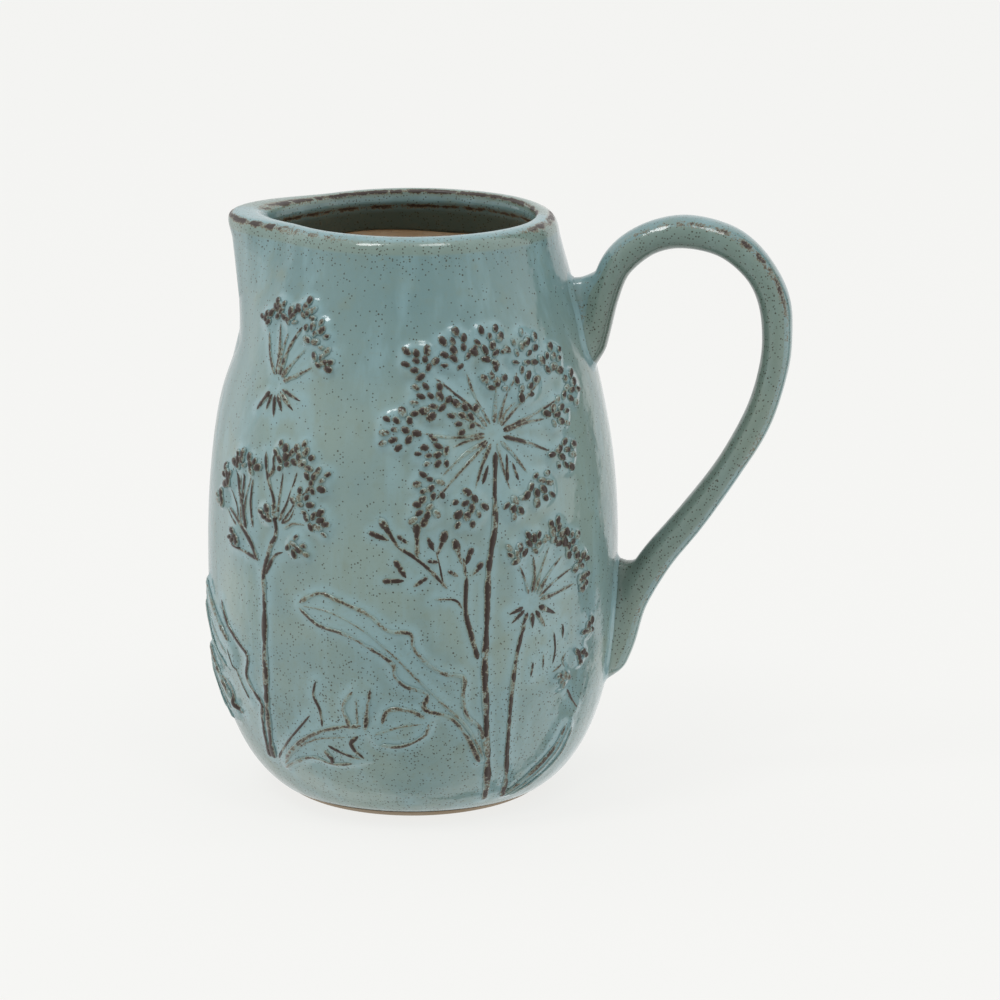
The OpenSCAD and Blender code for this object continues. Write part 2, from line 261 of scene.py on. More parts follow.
@dataclass(frozen=True)
class PotShape:
    """The glazed outside of the pot, as the frame has it.

    Heights and radii that the frame's boxes give are read from them. The rest repeat the part's
    own named sizes.
    """

    height: float
    neck_z: float
    belly_r: float
    foot_h: float
    floor_t: float
    floor_r: float
    foot_r: float = 42
    belly_z: float = 85
    rim_r: float = 49.2
    foot_pull: Place = (29, 13.4)
    belly_pull_down: float = 21
    belly_pull_up: float = 63
    rim_pull: Place = (2.2, 24)
    lip_out: float = 14.7
    lip_half_angle: float = 45
    lip_drop: float = 42
    lip_flare: float = 1.4
    throat_depth: float = 1.7
    throat_z: float = 156
    throat_tall: float = 12
    throat_half_angle: float = 60
    channel_out: float = 9.0
    channel_half_angle: float = 33
    channel_soft: float = 2.5
    channel_power: float = 1.3
    lip_up: float = -0.2
    wall: float = 5.5
    rim_t: float = 6.4
    coat: float = 0.5

    @classmethod
    def from_frame(cls) -> "PotShape":
        """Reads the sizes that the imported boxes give."""
        rim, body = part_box("rim_coat"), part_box("body_coat")
        foot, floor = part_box("foot_ring"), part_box("base_slab")
        return cls(height=rim[1][2] / MM, neck_z=body[1][2] / MM, belly_r=body[1][0] / MM,
                   foot_h=foot[1][2] / MM, floor_t=floor[1][2] / MM, floor_r=floor[1][0] / MM)

    def __post_init__(self) -> None:
        """Works out the outline once, as two Bezier curves that meet at the belly."""
        t = np.linspace(0, 1, 400)[:, None]
        lower = ((self.foot_r, 0), (self.foot_r + self.foot_pull[0], self.foot_pull[1]),
                 (self.belly_r, self.belly_z - self.belly_pull_down),
                 (self.belly_r, self.belly_z))
        upper = ((self.belly_r, self.belly_z),
                 (self.belly_r, self.belly_z + self.belly_pull_up),
                 (self.rim_r + self.rim_pull[0], self.height - self.rim_pull[1]),
                 (self.rim_r, self.height))
        curves = []
        for a, b, c, d in (np.array(lower, float), np.array(upper, float)):
            curves.append((1 - t) ** 3 * a + 3 * (1 - t) ** 2 * t * b
                          + 3 * (1 - t) * t ** 2 * c + t ** 3 * d)
        outline = np.vstack([curves[0][:-1], curves[1]])
        object.__setattr__(self, "_outline", outline)

    def outer(self, z: np.ndarray) -> np.ndarray:
        """Radius of the glazed outside at each height."""
        return np.interp(z, self._outline[:, 1], self._outline[:, 0])

    def lean(self, z: np.ndarray) -> np.ndarray:
        """How fast that radius grows with height."""
        low, high = np.maximum(z - 1, 0), np.minimum(z + 1, self.height)
        return (self.outer(high) - self.outer(low)) / np.maximum(high - low, 1e-6)

    def slant(self, z: np.ndarray) -> np.ndarray:
        """Sideways depth of one millimetre of thickness on the leaning wall."""
        return np.sqrt(1 + self.lean(z) ** 2)

    def lip_rise(self, z: np.ndarray) -> np.ndarray:
        """How far the pouring lip has opened at each height, from 0 to 1 at the rim."""
        return np.clip((z - self.height + self.lip_drop) / self.lip_drop, 0, 1) ** self.lip_flare

    def lip_bump(self, a: np.ndarray, z: np.ndarray) -> np.ndarray:
        """How far the pouring lip pushes the neck out, less the hollow of its throat.

        Args:
            a: Bearings in degrees.
            z: Heights.

        Returns:
            Distances out of the round neck.
        """
        off = off_lip(a)
        hollow = self.throat_depth * bell(z, self.throat_z, self.throat_tall)
        return self.lip_out * self.lip_rise(z) * hump(off, self.lip_half_angle) \
            - hollow * hump(off, self.throat_half_angle)

    def inner_fill(self, a: np.ndarray, z: np.ndarray) -> np.ndarray:
        """Extra clay inside the pouring lip, whose channel is narrower than its outside.

        Args:
            a: Bearings in degrees.
            z: Heights.

        Returns:
            Thicknesses to add to the neck's own.
        """
        off, soft = off_lip(a), self.channel_soft
        near = (np.hypot(off, soft) - soft) / self.channel_half_angle
        channel = self.channel_out * np.clip(1 - near, 0, 1) ** self.channel_power
        return self.lip_rise(z) * (self.lip_out * hump(off, self.lip_half_angle) - channel)

    def neck_t(self, z: np.ndarray) -> np.ndarray:
        """Thickness of the clay, which grows from the body's wall to the rim."""
        share = np.clip((z - self.neck_z) / (self.height - self.neck_z), 0, 1)
        return self.wall + (self.rim_t - self.wall) * share

    def at_depth(self, a: np.ndarray, z: np.ndarray, depth: np.ndarray) -> np.ndarray:
        """Points under the glazed outside.

        Args:
            a: Bearings in degrees.
            z: Heights.
            depth: Depths into the wall, or less than 0 for points that stand proud.

        Returns:
            X, Y and Z in the last axis.
        """
        r = self.outer(z) + self.lip_bump(a, z) - depth * self.slant(z)
        turn = np.radians(a)
        return np.stack([r * np.cos(turn), r * np.sin(turn), z + 0 * turn], axis=-1)

    def normal(self, a: np.ndarray, z: np.ndarray) -> np.ndarray:
        """Outward directions of the plain surface, without its relief.

        Args:
            a: Bearings in degrees.
            z: Heights.

        Returns:
            Directions of length 1, with X, Y and Z in the last axis.
        """
        step = 0.5
        across = self.at_depth(a + step, z, 0 * z) - self.at_depth(a - step, z, 0 * z)
        low, high = np.maximum(z - step, 0), np.minimum(z + step, self.height)
        up = self.at_depth(a, high, 0 * z) - self.at_depth(a, low, 0 * z)
        out = np.cross(across, up)
        return out / np.linalg.norm(out, axis=-1, keepdims=True)

    def raised(self, a: np.ndarray, z: np.ndarray, lift: np.ndarray) -> np.ndarray:
        """Points that stand a lift above the plain surface along its outward direction."""
        return self.at_depth(a, z, 0 * z) + self.normal(a, z) * np.asarray(lift)[..., None]

    def beside(self, place: Place, right: float, up: float) -> Place:
        """The place that lies right and up along the wall from another."""
        z = place[1] + up / float(self.slant(np.array(place[1])))
        return (place[0] + math.degrees(right / float(self.outer(np.array(z)))), z)

    def span(self, a0: np.ndarray, z0: np.ndarray, a1: float, z1: float) -> np.ndarray:
        """Distances along the surface from many places to one.

        Args:
            a0: Bearings of the many places.
            z0: Their heights.
            a1: Bearing of the one.
            z1: Its height.

        Returns:
            One distance for each of the many.
        """
        across = np.radians((a0 - a1 + 180) % 360 - 180) * self.outer(z0)
        along = (z0 - z1) * self.slant((z0 + z1) / 2)
        return np.hypot(across, along)


# ---- Relief ------------------------------------------------------------------------------


@dataclass(frozen=True)
class Line:
    """A raised stem, ray or vein through a few places."""

    places: tuple[Place, ...]
    width: float = 2.0
    taper: float = 0.35
    wear: float = 1.0


@dataclass(frozen=True)
class Cluster:
    """A small flower head: a soft raised pad that carries a group of seeds."""

    place: Place
    spread: float
    seeds: int


@dataclass(frozen=True)
class Umbel:
    """Flower clusters on rays that fan out from one hub."""

    hub: Place
    clusters: tuple[Cluster, ...]
    ray_width: float = 1.9
    ray_start: float = 3.5
    spokes: tuple[float, ...] = ()
    spoke_length: float = 11


@dataclass(frozen=True)
class Bud:
    """A drop-shaped bud on a short stalk."""

    foot: Place
    tip: Place
    size: float = 4.0


@dataclass(frozen=True)
class Leaf:
    """A raised blade between two edges, with a middle vein."""

    left: tuple[Place, ...]
    right: tuple[Place, ...]
    vein: tuple[Place, ...]
    lift: float = 0.7


@dataclass(frozen=True)
class Sprig:
    """One applied sprig of relief, which stands for one CAD node."""

    node: str
    seed: int
    lines: tuple[Line, ...] = ()
    umbels: tuple[Umbel, ...] = ()
    buds: tuple[Bud, ...] = ()
    leaves: tuple[Leaf, ...] = ()


# Widths that recur in the sprigs.
STEM, THIN_STEM, RAY = 3.2, 2.5, 1.9

SPRIGS = (
    Sprig("small_umbel_sprig", 11, umbels=(
        Umbel((-127, 151), (
            Cluster((-137, 171), 2.5, 3), Cluster((-131, 175), 2.5, 4),
            Cluster((-125, 173), 3, 4), Cluster((-118, 176), 3.5, 5),
            Cluster((-113, 169), 4.5, 7), Cluster((-109, 161), 3.5, 5)),
            ray_width=2.4, spokes=(108, 128, 150, 172, 196, 218), spoke_length=12),)),
    Sprig("left_umbel_sprig", 12,
          lines=(Line(((-132, 20), (-129, 32), (-127, 48), (-126, 64), (-125.5, 80), (-126, 90)),
                      STEM, 0.2),
                 Line(((-126, 87), (-123, 98), (-121, 103), (-122, 113), (-125, 121),
                       (-126.5, 129)), THIN_STEM),
                 Line(((-125, 121), (-123, 124), (-122.5, 129)), RAY),
                 Line(((-128, 92), (-131, 98), (-136, 103), (-142, 107)), THIN_STEM),
                 Line(((-128, 92.5), (-134, 94), (-140, 95)), RAY),
                 Line(((-133, 102), (-135.5, 110), (-137, 114), (-138.5, 120)), THIN_STEM),
                 Line(((-135.5, 111), (-135, 120)), RAY),
                 Line(((-130, 103), (-131.5, 111), (-131, 119)), RAY),
                 Line(((-125, 88), (-121.5, 95), (-118.5, 97)), RAY)),
          umbels=(
              Umbel((-121, 104), (
                  Cluster((-124, 109), 2.6, 3), Cluster((-119, 129), 4, 6),
                  Cluster((-113, 130), 4, 6), Cluster((-108, 123), 4, 6),
                  Cluster((-112, 116), 3.8, 6), Cluster((-107, 109), 4, 6),
                  Cluster((-113, 100), 3.6, 5)), ray_width=1.6),
              Umbel((-135, 100), (
                  Cluster((-138, 98), 2.4, 3), Cluster((-146, 109), 2.6, 3),
                  Cluster((-143, 117), 3, 4), Cluster((-137, 124), 3.4, 5),
                  Cluster((-131, 124), 2.6, 3)), ray_width=1.5))),
    Sprig("main_umbel_sprig", 13,
          lines=(Line(((-55, 8), (-57, 18), (-59, 30), (-60.5, 44), (-61.5, 60), (-61, 78),
                       (-60.5, 94), (-58.5, 108), (-58, 120), (-57, 132)), STEM, 0.35),
                 Line(((-54, 122), (-53.5, 131)), RAY), Line(((-50.5, 122), (-52, 128)), RAY),
                 Line(((-61.5, 122), (-59.5, 128)), RAY)),
          umbels=(
              Umbel((-57, 138), (
                  Cluster((-79, 162), 5, 8), Cluster((-76, 150), 6, 11),
                  Cluster((-85, 140), 6, 10), Cluster((-75, 133), 5, 8),
                  Cluster((-77, 122), 4.6, 7), Cluster((-78, 114), 4, 5),
                  Cluster((-67, 165), 6, 10), Cluster((-66, 144), 5, 7),
                  Cluster((-56, 166), 6, 10), Cluster((-55, 155), 4, 5),
                  Cluster((-44, 163), 6, 10), Cluster((-45, 152), 5, 6),
                  Cluster((-33, 158), 5, 7), Cluster((-27, 148), 5, 7),
                  Cluster((-34, 141), 5, 7), Cluster((-34, 127), 5.4, 8),
                  Cluster((-44, 118), 5.6, 9), Cluster((-52.5, 114), 3.6, 4),
                  Cluster((-66, 114), 5.6, 9))),)),
    Sprig("bud_spray_sprig", 14,
          lines=(Line(((-63.5, 63), (-65.5, 72), (-67, 80), (-66.7, 92)), THIN_STEM),
                 Line(((-68, 81), (-70, 84), (-75.5, 84.5)), 1.6),
                 Line(((-67, 92), (-67.5, 98)), RAY),
                 Line(((-72, 88), (-77, 95), (-82, 100), (-85, 102)), 1.6, 0.1),
                 Line(((-73, 89), (-74, 96), (-75, 101)), 1.1)),
          buds=(Bud((-85, 102), (-89, 110)), Bud((-80, 99), (-80, 108.5)),
                Bud((-74.5, 99.5), (-72.8, 105.5)), Bud((-75.5, 101), (-76.8, 104.5), 2.0),
                Bud((-68, 96), (-69.5, 102.5)), Bud((-67, 95.5), (-65.5, 100), 3.0),
                Bud((-65, 92), (-63, 95), 3.0), Bud((-83, 92), (-85.3, 96.5), 3.0),
                Bud((-83.5, 91), (-88, 90.8), 2.8), Bud((-87.5, 104.5), (-92, 106.5), 2.6),
                Bud((-81, 89), (-78, 91.5), 2.2), Bud((-82.5, 103.5), (-84.5, 105.5), 2.2),
                Bud((-69, 92), (-71, 93.5), 2.0), Bud((-74, 97), (-76.5, 97.5), 2.0))),
    Sprig("low_umbel_sprig", 15,
          lines=(Line(((-47.5, 8), (-50, 18), (-52, 28), (-53, 44), (-52.5, 58), (-51, 68),
                       (-49.5, 73)), THIN_STEM, 0.3),
                 Line(((-39.5, 68), (-38.8, 62), (-39.5, 57)), 1.6),
                 Line(((-36.2, 70), (-36, 65)), 1.5), Line(((-46.5, 59), (-47, 54)), 1.6),
                 Line(((-43, 61), (-43, 56)), 1.4), Line(((-39.5, 54), (-36, 56)), 1.3),
                 Line(((-32.5, 46), (-29, 41), (-25, 37)), 1.4)),
          umbels=(
              Umbel((-47.5, 80), (
                  Cluster((-53, 98), 3, 4), Cluster((-47, 101), 3.6, 5),
                  Cluster((-40, 103), 4, 6), Cluster((-34, 98), 4, 6),
                  Cluster((-30, 91), 3.4, 4), Cluster((-29, 84), 2.8, 3)),
                  ray_width=1.9, spokes=(118, 148, 176, 205, 232, 252), spoke_length=11),
              Umbel((-34, 63), (
                  Cluster((-36, 51), 2.6, 3), Cluster((-29, 57), 2.8, 3),
                  Cluster((-26, 66), 2.6, 3)), ray_width=1.6)),
          leaves=(Leaf(((-47, 9), (-40, 16), (-33, 24), (-30, 32)),
                       ((-44, 8), (-36, 12), (-28, 20), (-26, 30)),
                       ((-46, 8), (-38, 14), (-31, 22), (-28, 31)), 0.5),)),
    Sprig("long_leaf_sprig", 16, leaves=(
        Leaf(((-61, 25), (-66, 36), (-71, 43), (-78, 46.5), (-77.5, 52), (-83, 54.5),
              (-86, 58), (-87, 63), (-94, 68.5), (-100, 72), (-107, 74), (-113, 79)),
             ((-59, 28), (-62, 38), (-66, 43), (-67.5, 50), (-67.5, 57), (-72, 58.5),
              (-77, 62), (-81, 68), (-82, 73), (-88, 74), (-93, 79), (-101, 83), (-107, 85),
              (-113, 81)),
             ((-59.5, 26), (-66, 39), (-73, 48), (-80, 57), (-87, 66), (-95, 74), (-104, 79),
              (-112, 80)), 0.6),)),
    Sprig("lobed_leaf_sprig", 17,
          lines=(Line(((-129, 21), (-122, 29), (-116, 36), (-112, 41)), 1.5),
                 Line(((-108, 38), (-108.5, 44), (-110, 49), (-109, 54)), 1.5, 0.1),
                 Line(((-97, 36), (-99.5, 33), (-98, 29.5), (-96, 27.5)), 1.8, 0.2),
                 Line(((-107, 31), (-102, 28.5), (-97, 27)), 1.6, 0.2),
                 Line(((-108.5, 29), (-106.5, 26), (-107, 23.5)), 2.2, 0.1)),
          leaves=(
              Leaf(((-127, 18), (-119, 23), (-113, 25.5), (-107, 24), (-100, 25)),
                   ((-125, 22), (-116, 31), (-109, 36), (-101, 39), (-96, 40)),
                   ((-126, 20), (-118, 28), (-110, 33), (-101, 35)), 0.6),
              Leaf(((-95, 38), (-94, 46), (-93, 53)), ((-99, 39), (-101, 46), (-98, 52)),
                   ((-97, 40), (-97, 50)), 0.5),
              Leaf(((-91, 33), (-84, 33), (-78, 37), (-77, 41)),
                   ((-90, 41), (-88, 46), (-82, 46), (-78, 43)),
                   ((-92, 37), (-85, 40), (-79, 41)), 0.7))),
    Sprig("left_leaf_sprig", 18,
          lines=(Line(((-134, 20), (-132.5, 28), (-131, 36), (-130, 41), (-133, 45),
                       (-135.5, 50), (-134, 57), (-138.5, 61), (-144, 66), (-147.5, 73)), 2.2,
                      0.2),
                 Line(((-136, 41), (-140, 48), (-144, 57)), 1.4),
                 Line(((-142, 34), (-146, 37), (-147, 42), (-154, 44)), 2.4)),
          leaves=(
              Leaf(((-150, 30), (-158, 36), (-166, 47)), ((-147, 38), (-154, 44), (-164, 52)),
                   ((-149, 34), (-157, 41), (-166, 49)), 1.2),
              Leaf(((-146, 50), (-155, 56), (-163, 68)), ((-143, 60), (-151, 67), (-161, 76)),
                   ((-145, 55), (-154, 62), (-162, 72)), 1.0))),
    Sprig("back_main_umbel_sprig", 21,
          lines=(Line(((98, 8), (100, 22), (102, 44), (104, 66), (103, 90), (101, 108),
                       (99, 124)), STEM, 0.35),
                 Line(((103, 70), (109, 82), (114, 88)), RAY),
                 Line(((104, 62), (98, 74), (95, 80)), RAY)),
          umbels=(
              Umbel((99, 131), (
                  Cluster((78, 158), 5, 8), Cluster((76, 145), 6, 10),
                  Cluster((73, 131), 5, 8), Cluster((80, 118), 5, 8),
                  Cluster((87, 163), 6, 10), Cluster((88, 149), 5, 7),
                  Cluster((98, 168), 6, 10), Cluster((99, 154), 4, 5),
                  Cluster((110, 164), 6, 10), Cluster((109, 151), 5, 6),
                  Cluster((121, 156), 5, 7), Cluster((124, 143), 5, 8),
                  Cluster((118, 133), 5, 7), Cluster((122, 120), 5, 8),
                  Cluster((110, 114), 5, 7), Cluster((90, 110), 5, 7))),),
          buds=(Bud((113, 87), (116, 93)), Bud((111, 85), (111.5, 92), 3.0),
                Bud((95.5, 79), (93, 86), 3.0), Bud((96, 78), (97, 86), 2.8))),
    Sprig("back_low_umbel_sprig", 22,
          lines=(Line(((57, 8), (59, 20), (57, 40), (53, 58), (50, 68)), THIN_STEM, 0.3),),
          umbels=(
              Umbel((49, 74), (
                  Cluster((33, 82), 3.6, 5), Cluster((36, 92), 4, 6),
                  Cluster((43, 98), 4.4, 7), Cluster((51, 100), 4.4, 7),
                  Cluster((59, 96), 4, 6), Cluster((65, 88), 3.6, 5)),
                  ray_width=1.9, spokes=(120, 150, 210, 240), spoke_length=10),)),
    Sprig("back_small_umbel_sprig", 23,
          lines=(Line(((146, 12), (144, 30), (143, 50), (145, 72), (148, 94)), THIN_STEM, 0.3),
                 Line(((144, 60), (150, 70), (154, 72)), RAY)),
          umbels=(
              Umbel((149, 99), (
                  Cluster((133, 108), 3.4, 5), Cluster((137, 118), 4, 6),
                  Cluster((145, 124), 4.4, 7), Cluster((154, 123), 4.4, 7),
                  Cluster((162, 116), 4, 6), Cluster((165, 106), 3.4, 5)),
                  ray_width=1.9, spokes=(140, 165, 195, 220), spoke_length=9),)),
    Sprig("back_leaf_sprig", 24, leaves=(
        Leaf(((106, 27), (112, 38), (120, 44), (121, 52), (128, 58), (130, 68), (138, 78)),
             ((107, 21), (117, 28), (127, 36), (130, 46), (137, 54), (138, 66), (139, 78)),
             ((106, 24), (115, 34), (124, 46), (131, 58), (138, 76)), 0.7),
        Leaf(((60, 16), (68, 24), (76, 38), (80, 52)), ((63, 12), (74, 18), (83, 32), (82, 50)),
             ((61, 14), (72, 24), (80, 44)), 0.6))),
)


@dataclass
class SprigLayout:
    """One sprig's lines and seeds, worked out as places on the pot."""

    lines: list[Line] = field(default_factory=list)
    seeds: list[tuple[Place, float, float, float]] = field(default_factory=list)


@dataclass
class Relief:
    """All of the relief: where its lines and seeds lie, and how the coat swells under them."""

    pot: PotShape
    pad_margin: float = 2.6
    pad_edge: float = 2.4
    pad_lift: float = 0.9
    head_lift: float = 0.5
    head_margin: float = 9
    head_slope: float = 1.5
    ray_gap: float = 1.5
    ray_least: float = 3
    ray_bow: float = 1.2
    ray_wear: Place = (0.5, 0.82)
    extra_seeds: int = 2
    seed_spread: float = 1.12
    seed_length: Place = (3.0, 4.5)
    seed_width: Place = (0.56, 0.78)
    spoke_width: float = 2.6
    edge_width: float = 2.1
    vein_width: float = 1.4
    shoulder: float = 0.35
    shoulder_reach: float = 2.0
    line_height: float = 0.55
    hand_wobble: float = 0.22
    layouts: dict[str, SprigLayout] = field(default_factory=dict)

    def lay_out(self) -> None:
        """Works out every sprig's lines and seeds."""
        for sprig in SPRIGS:
            rng = np.random.default_rng(sprig.seed)
            layout = SprigLayout(lines=list(sprig.lines))
            for umbel in sprig.umbels:
                self._lay_umbel(umbel, layout, rng)
            for bud in sprig.buds:
                self._lay_bud(bud, layout)
            for leaf in sprig.leaves:
                layout.lines += [Line(leaf.left, self.edge_width, 0.2, 0.66),
                                 Line(leaf.right, self.edge_width, 0.2, 0.62),
                                 Line(leaf.vein, self.vein_width, 0.5, 0.5)]
            self.layouts[sprig.node] = layout

    def _lay_umbel(self, umbel: Umbel, layout: SprigLayout, rng: np.random.Generator) -> None:
        """Adds an umbel's rays, spokes and seeds to a layout.

        Args:
            umbel: The flower.
            layout: What it is added to.
            rng: The sprig's own random numbers.
        """
        pot, hub = self.pot, umbel.hub
        for cluster in umbel.clusters:
            right, up = self._across(hub, cluster.place)
            turn = math.atan2(right, up)
            stop = math.hypot(right, up) - cluster.spread - self.ray_gap
            if stop > umbel.ray_start + self.ray_least:
                bow = rng.uniform(-self.ray_bow, self.ray_bow)
                places = []
                for share in (0, 0.5, 1):
                    d = umbel.ray_start + (stop - umbel.ray_start) * share
                    side = bow * math.sin(math.pi * share)
                    places.append(pot.beside(
                        hub, d * math.sin(turn) + side * math.cos(turn),
                        d * math.cos(turn) - side * math.sin(turn)))
                layout.lines.append(Line(tuple(places), umbel.ray_width, 0.5,
                                         rng.uniform(*self.ray_wear)))
            self._lay_seeds(cluster, turn, layout, rng)
        for spoke in umbel.spokes:
            turn = math.radians(spoke)
            far = umbel.spoke_length * rng.uniform(0.75, 1.1)
            layout.lines.append(Line(tuple(
                pot.beside(hub, d * math.sin(turn), d * math.cos(turn))
                for d in (umbel.ray_start, (far + umbel.ray_start) / 2, far)),
                self.spoke_width, 0.55))

    def _across(self, start: Place, end: Place) -> Place:
        """How far one place lies to the right of another and above it."""
        r = float(self.pot.outer(np.array(end[1])))
        return math.radians(end[0] - start[0]) * r, end[1] - start[1]

    def _lay_seeds(self, cluster: Cluster, turn: float, layout: SprigLayout,
                   rng: np.random.Generator) -> None:
        """Adds a flower head's seeds, which fan out from where its ray comes in.

        Args:
            cluster: The flower head.
            turn: The ray's direction, in radians from straight up.
            layout: What the seeds are added to.
            rng: The sprig's own random numbers.
        """
        back = -0.8 * cluster.spread
        heart = (back * math.sin(turn), back * math.cos(turn))
        start = rng.uniform(0, 360)
        count, spread = cluster.seeds + self.extra_seeds, cluster.spread * self.seed_spread
        for k in range(count):
            swing = math.radians(start + SEED_TURN * k)
            d = spread * math.sqrt((k + 0.4) / count) + rng.uniform(-0.3, 0.3)
            over, along = d * math.sin(swing), d * math.cos(swing)
            facing = math.degrees(math.atan2(over - heart[0], along - heart[1]))
            length = rng.uniform(*self.seed_length)
            layout.seeds.append((self.pot.beside(cluster.place, over, along), facing, length,
                                 length * rng.uniform(*self.seed_width)))

    def _lay_bud(self, bud: Bud, layout: SprigLayout) -> None:
        """Adds a bud and its stalk to a layout."""
        facing = math.degrees(math.atan2(*self._across(bud.foot, bud.tip)))
        layout.lines.append(Line((bud.foot, bud.tip), RAY, -0.3))
        layout.seeds.append((bud.tip, facing, bud.size * 1.25, bud.size * 0.8))

    def trace(self, line: Line, spacing: float = 0.7) -> np.ndarray:
        """Places along a line, evenly spaced.

        Args:
            line: The line to follow.
            spacing: Distance from one place to the next.

        Returns:
            Rows of bearing and height.
        """
        fine = catmull_rom(line.places, np.linspace(0, 1, 40 * len(line.places)))
        flat = np.stack([np.radians(fine[:, 0]) * self.pot.outer(fine[:, 1]), fine[:, 1]], 1)
        run = np.concatenate([[0], np.cumsum(np.linalg.norm(np.diff(flat, axis=0), axis=1))])
        count = max(4, int(run[-1] / spacing))
        at = np.linspace(0, run[-1], count)
        return np.stack([np.interp(at, run, fine[:, k]) for k in (0, 1)], axis=1)

    def swell(self, a: np.ndarray, z: np.ndarray) -> np.ndarray:
        """How far the pads, flower heads and leaf blades lift the coat at each place.

        Args:
            a: Bearings in degrees.
            z: Heights.

        Returns:
            Lifts above the plain surface.
        """
        pot, total = self.pot, np.zeros(np.broadcast(a, z).shape)
        for sprig in SPRIGS:
            for umbel in sprig.umbels:
                pads = np.zeros_like(total)
                for c in umbel.clusters:
                    edge = c.spread + self.pad_margin
                    near = 1 - smooth_step(edge - self.pad_edge, edge, pot.span(a, z, *c.place))
                    pads = np.maximum(pads, near)
                total += self.pad_lift * pads
                head = np.zeros_like(total)
                for c in umbel.clusters:
                    near = pot.span(a, z, *c.place) / (c.spread + self.head_margin)
                    head = np.maximum(head, np.exp(-near ** 2 * self.head_slope))
                total = np.maximum(total, 0) + self.head_lift * head
            for leaf in sprig.leaves:
                total += leaf.lift * self._inside(leaf, a, z)
        wobble = wander(a + z * 0.7, 31) * np.sin(np.radians(z * 2.1)) \
            + wander(a - z * 0.5, 32) * np.cos(np.radians(z * 3.3))
        fade = smooth_step(pot.foot_h, pot.foot_h + 8, z) \
            * (1 - smooth_step(pot.height - 16, pot.height - 5, z))
        return (total + self.hand_wobble * wobble) * fade

    def _inside(self, leaf: Leaf, a: np.ndarray, z: np.ndarray) -> np.ndarray:
        """Where a leaf's blade lies.

        Args:
            leaf: The leaf.
            a: Bearings in degrees.
            z: Heights.

        Returns:
            1 on the blade and 0 off it, with a soft edge.
        """
        steps = np.linspace(0, 1, 24)
        left, right = catmull_rom(leaf.left, steps), catmull_rom(leaf.right, steps)
        found = np.zeros(np.broadcast(a, z).shape)
        for p, q in zip(left, right):
            middle = (p + q) / 2
            half = max(1.5, float(self.pot.span(*np.array(p), *q)) / 2)
            d = self.pot.span(a, z, *middle)
            found = np.maximum(found, 1 - smooth_step(half - 0.6, half + 1.4, d))
        return found

    def marks(self) -> kdtree.KDTree:
        """A search tree over points along every line and in every seed."""
        places = []
        for layout in self.layouts.values():
            places += [self.trace(line, 0.9) for line in layout.lines]
            if layout.seeds:
                places.append(np.array([s[0] for s in layout.seeds]))
        every = np.vstack(places)
        points = self.pot.at_depth(every[:, 0], every[:, 1], 0 * every[:, 1])
        tree = kdtree.KDTree(len(points))
        for i, p in enumerate(points):
            tree.insert(p, i)
        tree.balance()
        return tree


# ---- Finishes ----------------------------------------------------------------------------


class Finish:
    """A material made of shader nodes."""

    name = "finish"

    def build(self) -> Material:
        """Makes the material, with the finish's nodes between coordinates and surface."""
        material = bpy.data.materials.new(self.name)
        material.use_nodes = True
        tree = material.node_tree
        tree.nodes.clear()
        where = add_node(tree, "ShaderNodeTexCoord").outputs["Object"]
        shader = self.surface(tree, where)
        add_node(tree, "ShaderNodeOutputMaterial", {"Surface": shader})
        return material

    def surface(self, tree: Tree, where: Socket) -> Socket:
        """Builds the finish's own nodes.

        Args:
            tree: The material's node tree.
            where: The piece's own coordinates.

        Returns:
            The shader.
        """
        raise NotImplementedError

    def lay(self, tree: Tree, colour: Any, coats: Iterable[tuple[Any, str]]) -> Socket:
        """Lays coats of colour over a first one.

        Args:
            tree: The material's node tree.
            colour: The lowest colour.
            coats: For each coat, the share of it that shows, and its sRGB colour.

        Returns:
            The mixed colour.
        """
        for share, coat in coats:
            colour = add_node(tree, "ShaderNodeMix", {0: share, 6: colour, 7: linear(coat)},
                              data_type="RGBA").outputs[2]
        return colour


@dataclass(frozen=True)
class Rise:
    """Goes smoothly from bottom to top while another value goes from low to high."""

    low: float
    high: float
    bottom: float = 0.0
    top: float = 1.0

    def of(self, tree: Tree, value: Any) -> Socket:
        """The rise of a value, in a tree."""
        return add_node(tree, RANGE, {
            "Value": value, "From Min": self.low, "From Max": self.high,
            "To Min": self.bottom, "To Max": self.top},
            interpolation_type="SMOOTHSTEP").outputs[0]


@dataclass(frozen=True)
class Patches:
    """A cloudy pattern whose patches are about size_mm wide."""

    size_mm: float
    rise: Rise = Rise(0, 1)
    detail: float = 3.0
    rough: float = 0.55

    def cloud(self, tree: Tree, where: Any) -> Socket:
        """The pattern itself, which hovers about 0.5."""
        return add_node(tree, NOISE, {
            "Vector": where, "Scale": 1 / (self.size_mm * MM), "Detail": self.detail,
            "Roughness": self.rough}).outputs[0]

    def share(self, tree: Tree, where: Any) -> Socket:
        """The pattern's patches, cut out of it by the rise."""
        return self.rise.of(tree, self.cloud(tree, where))


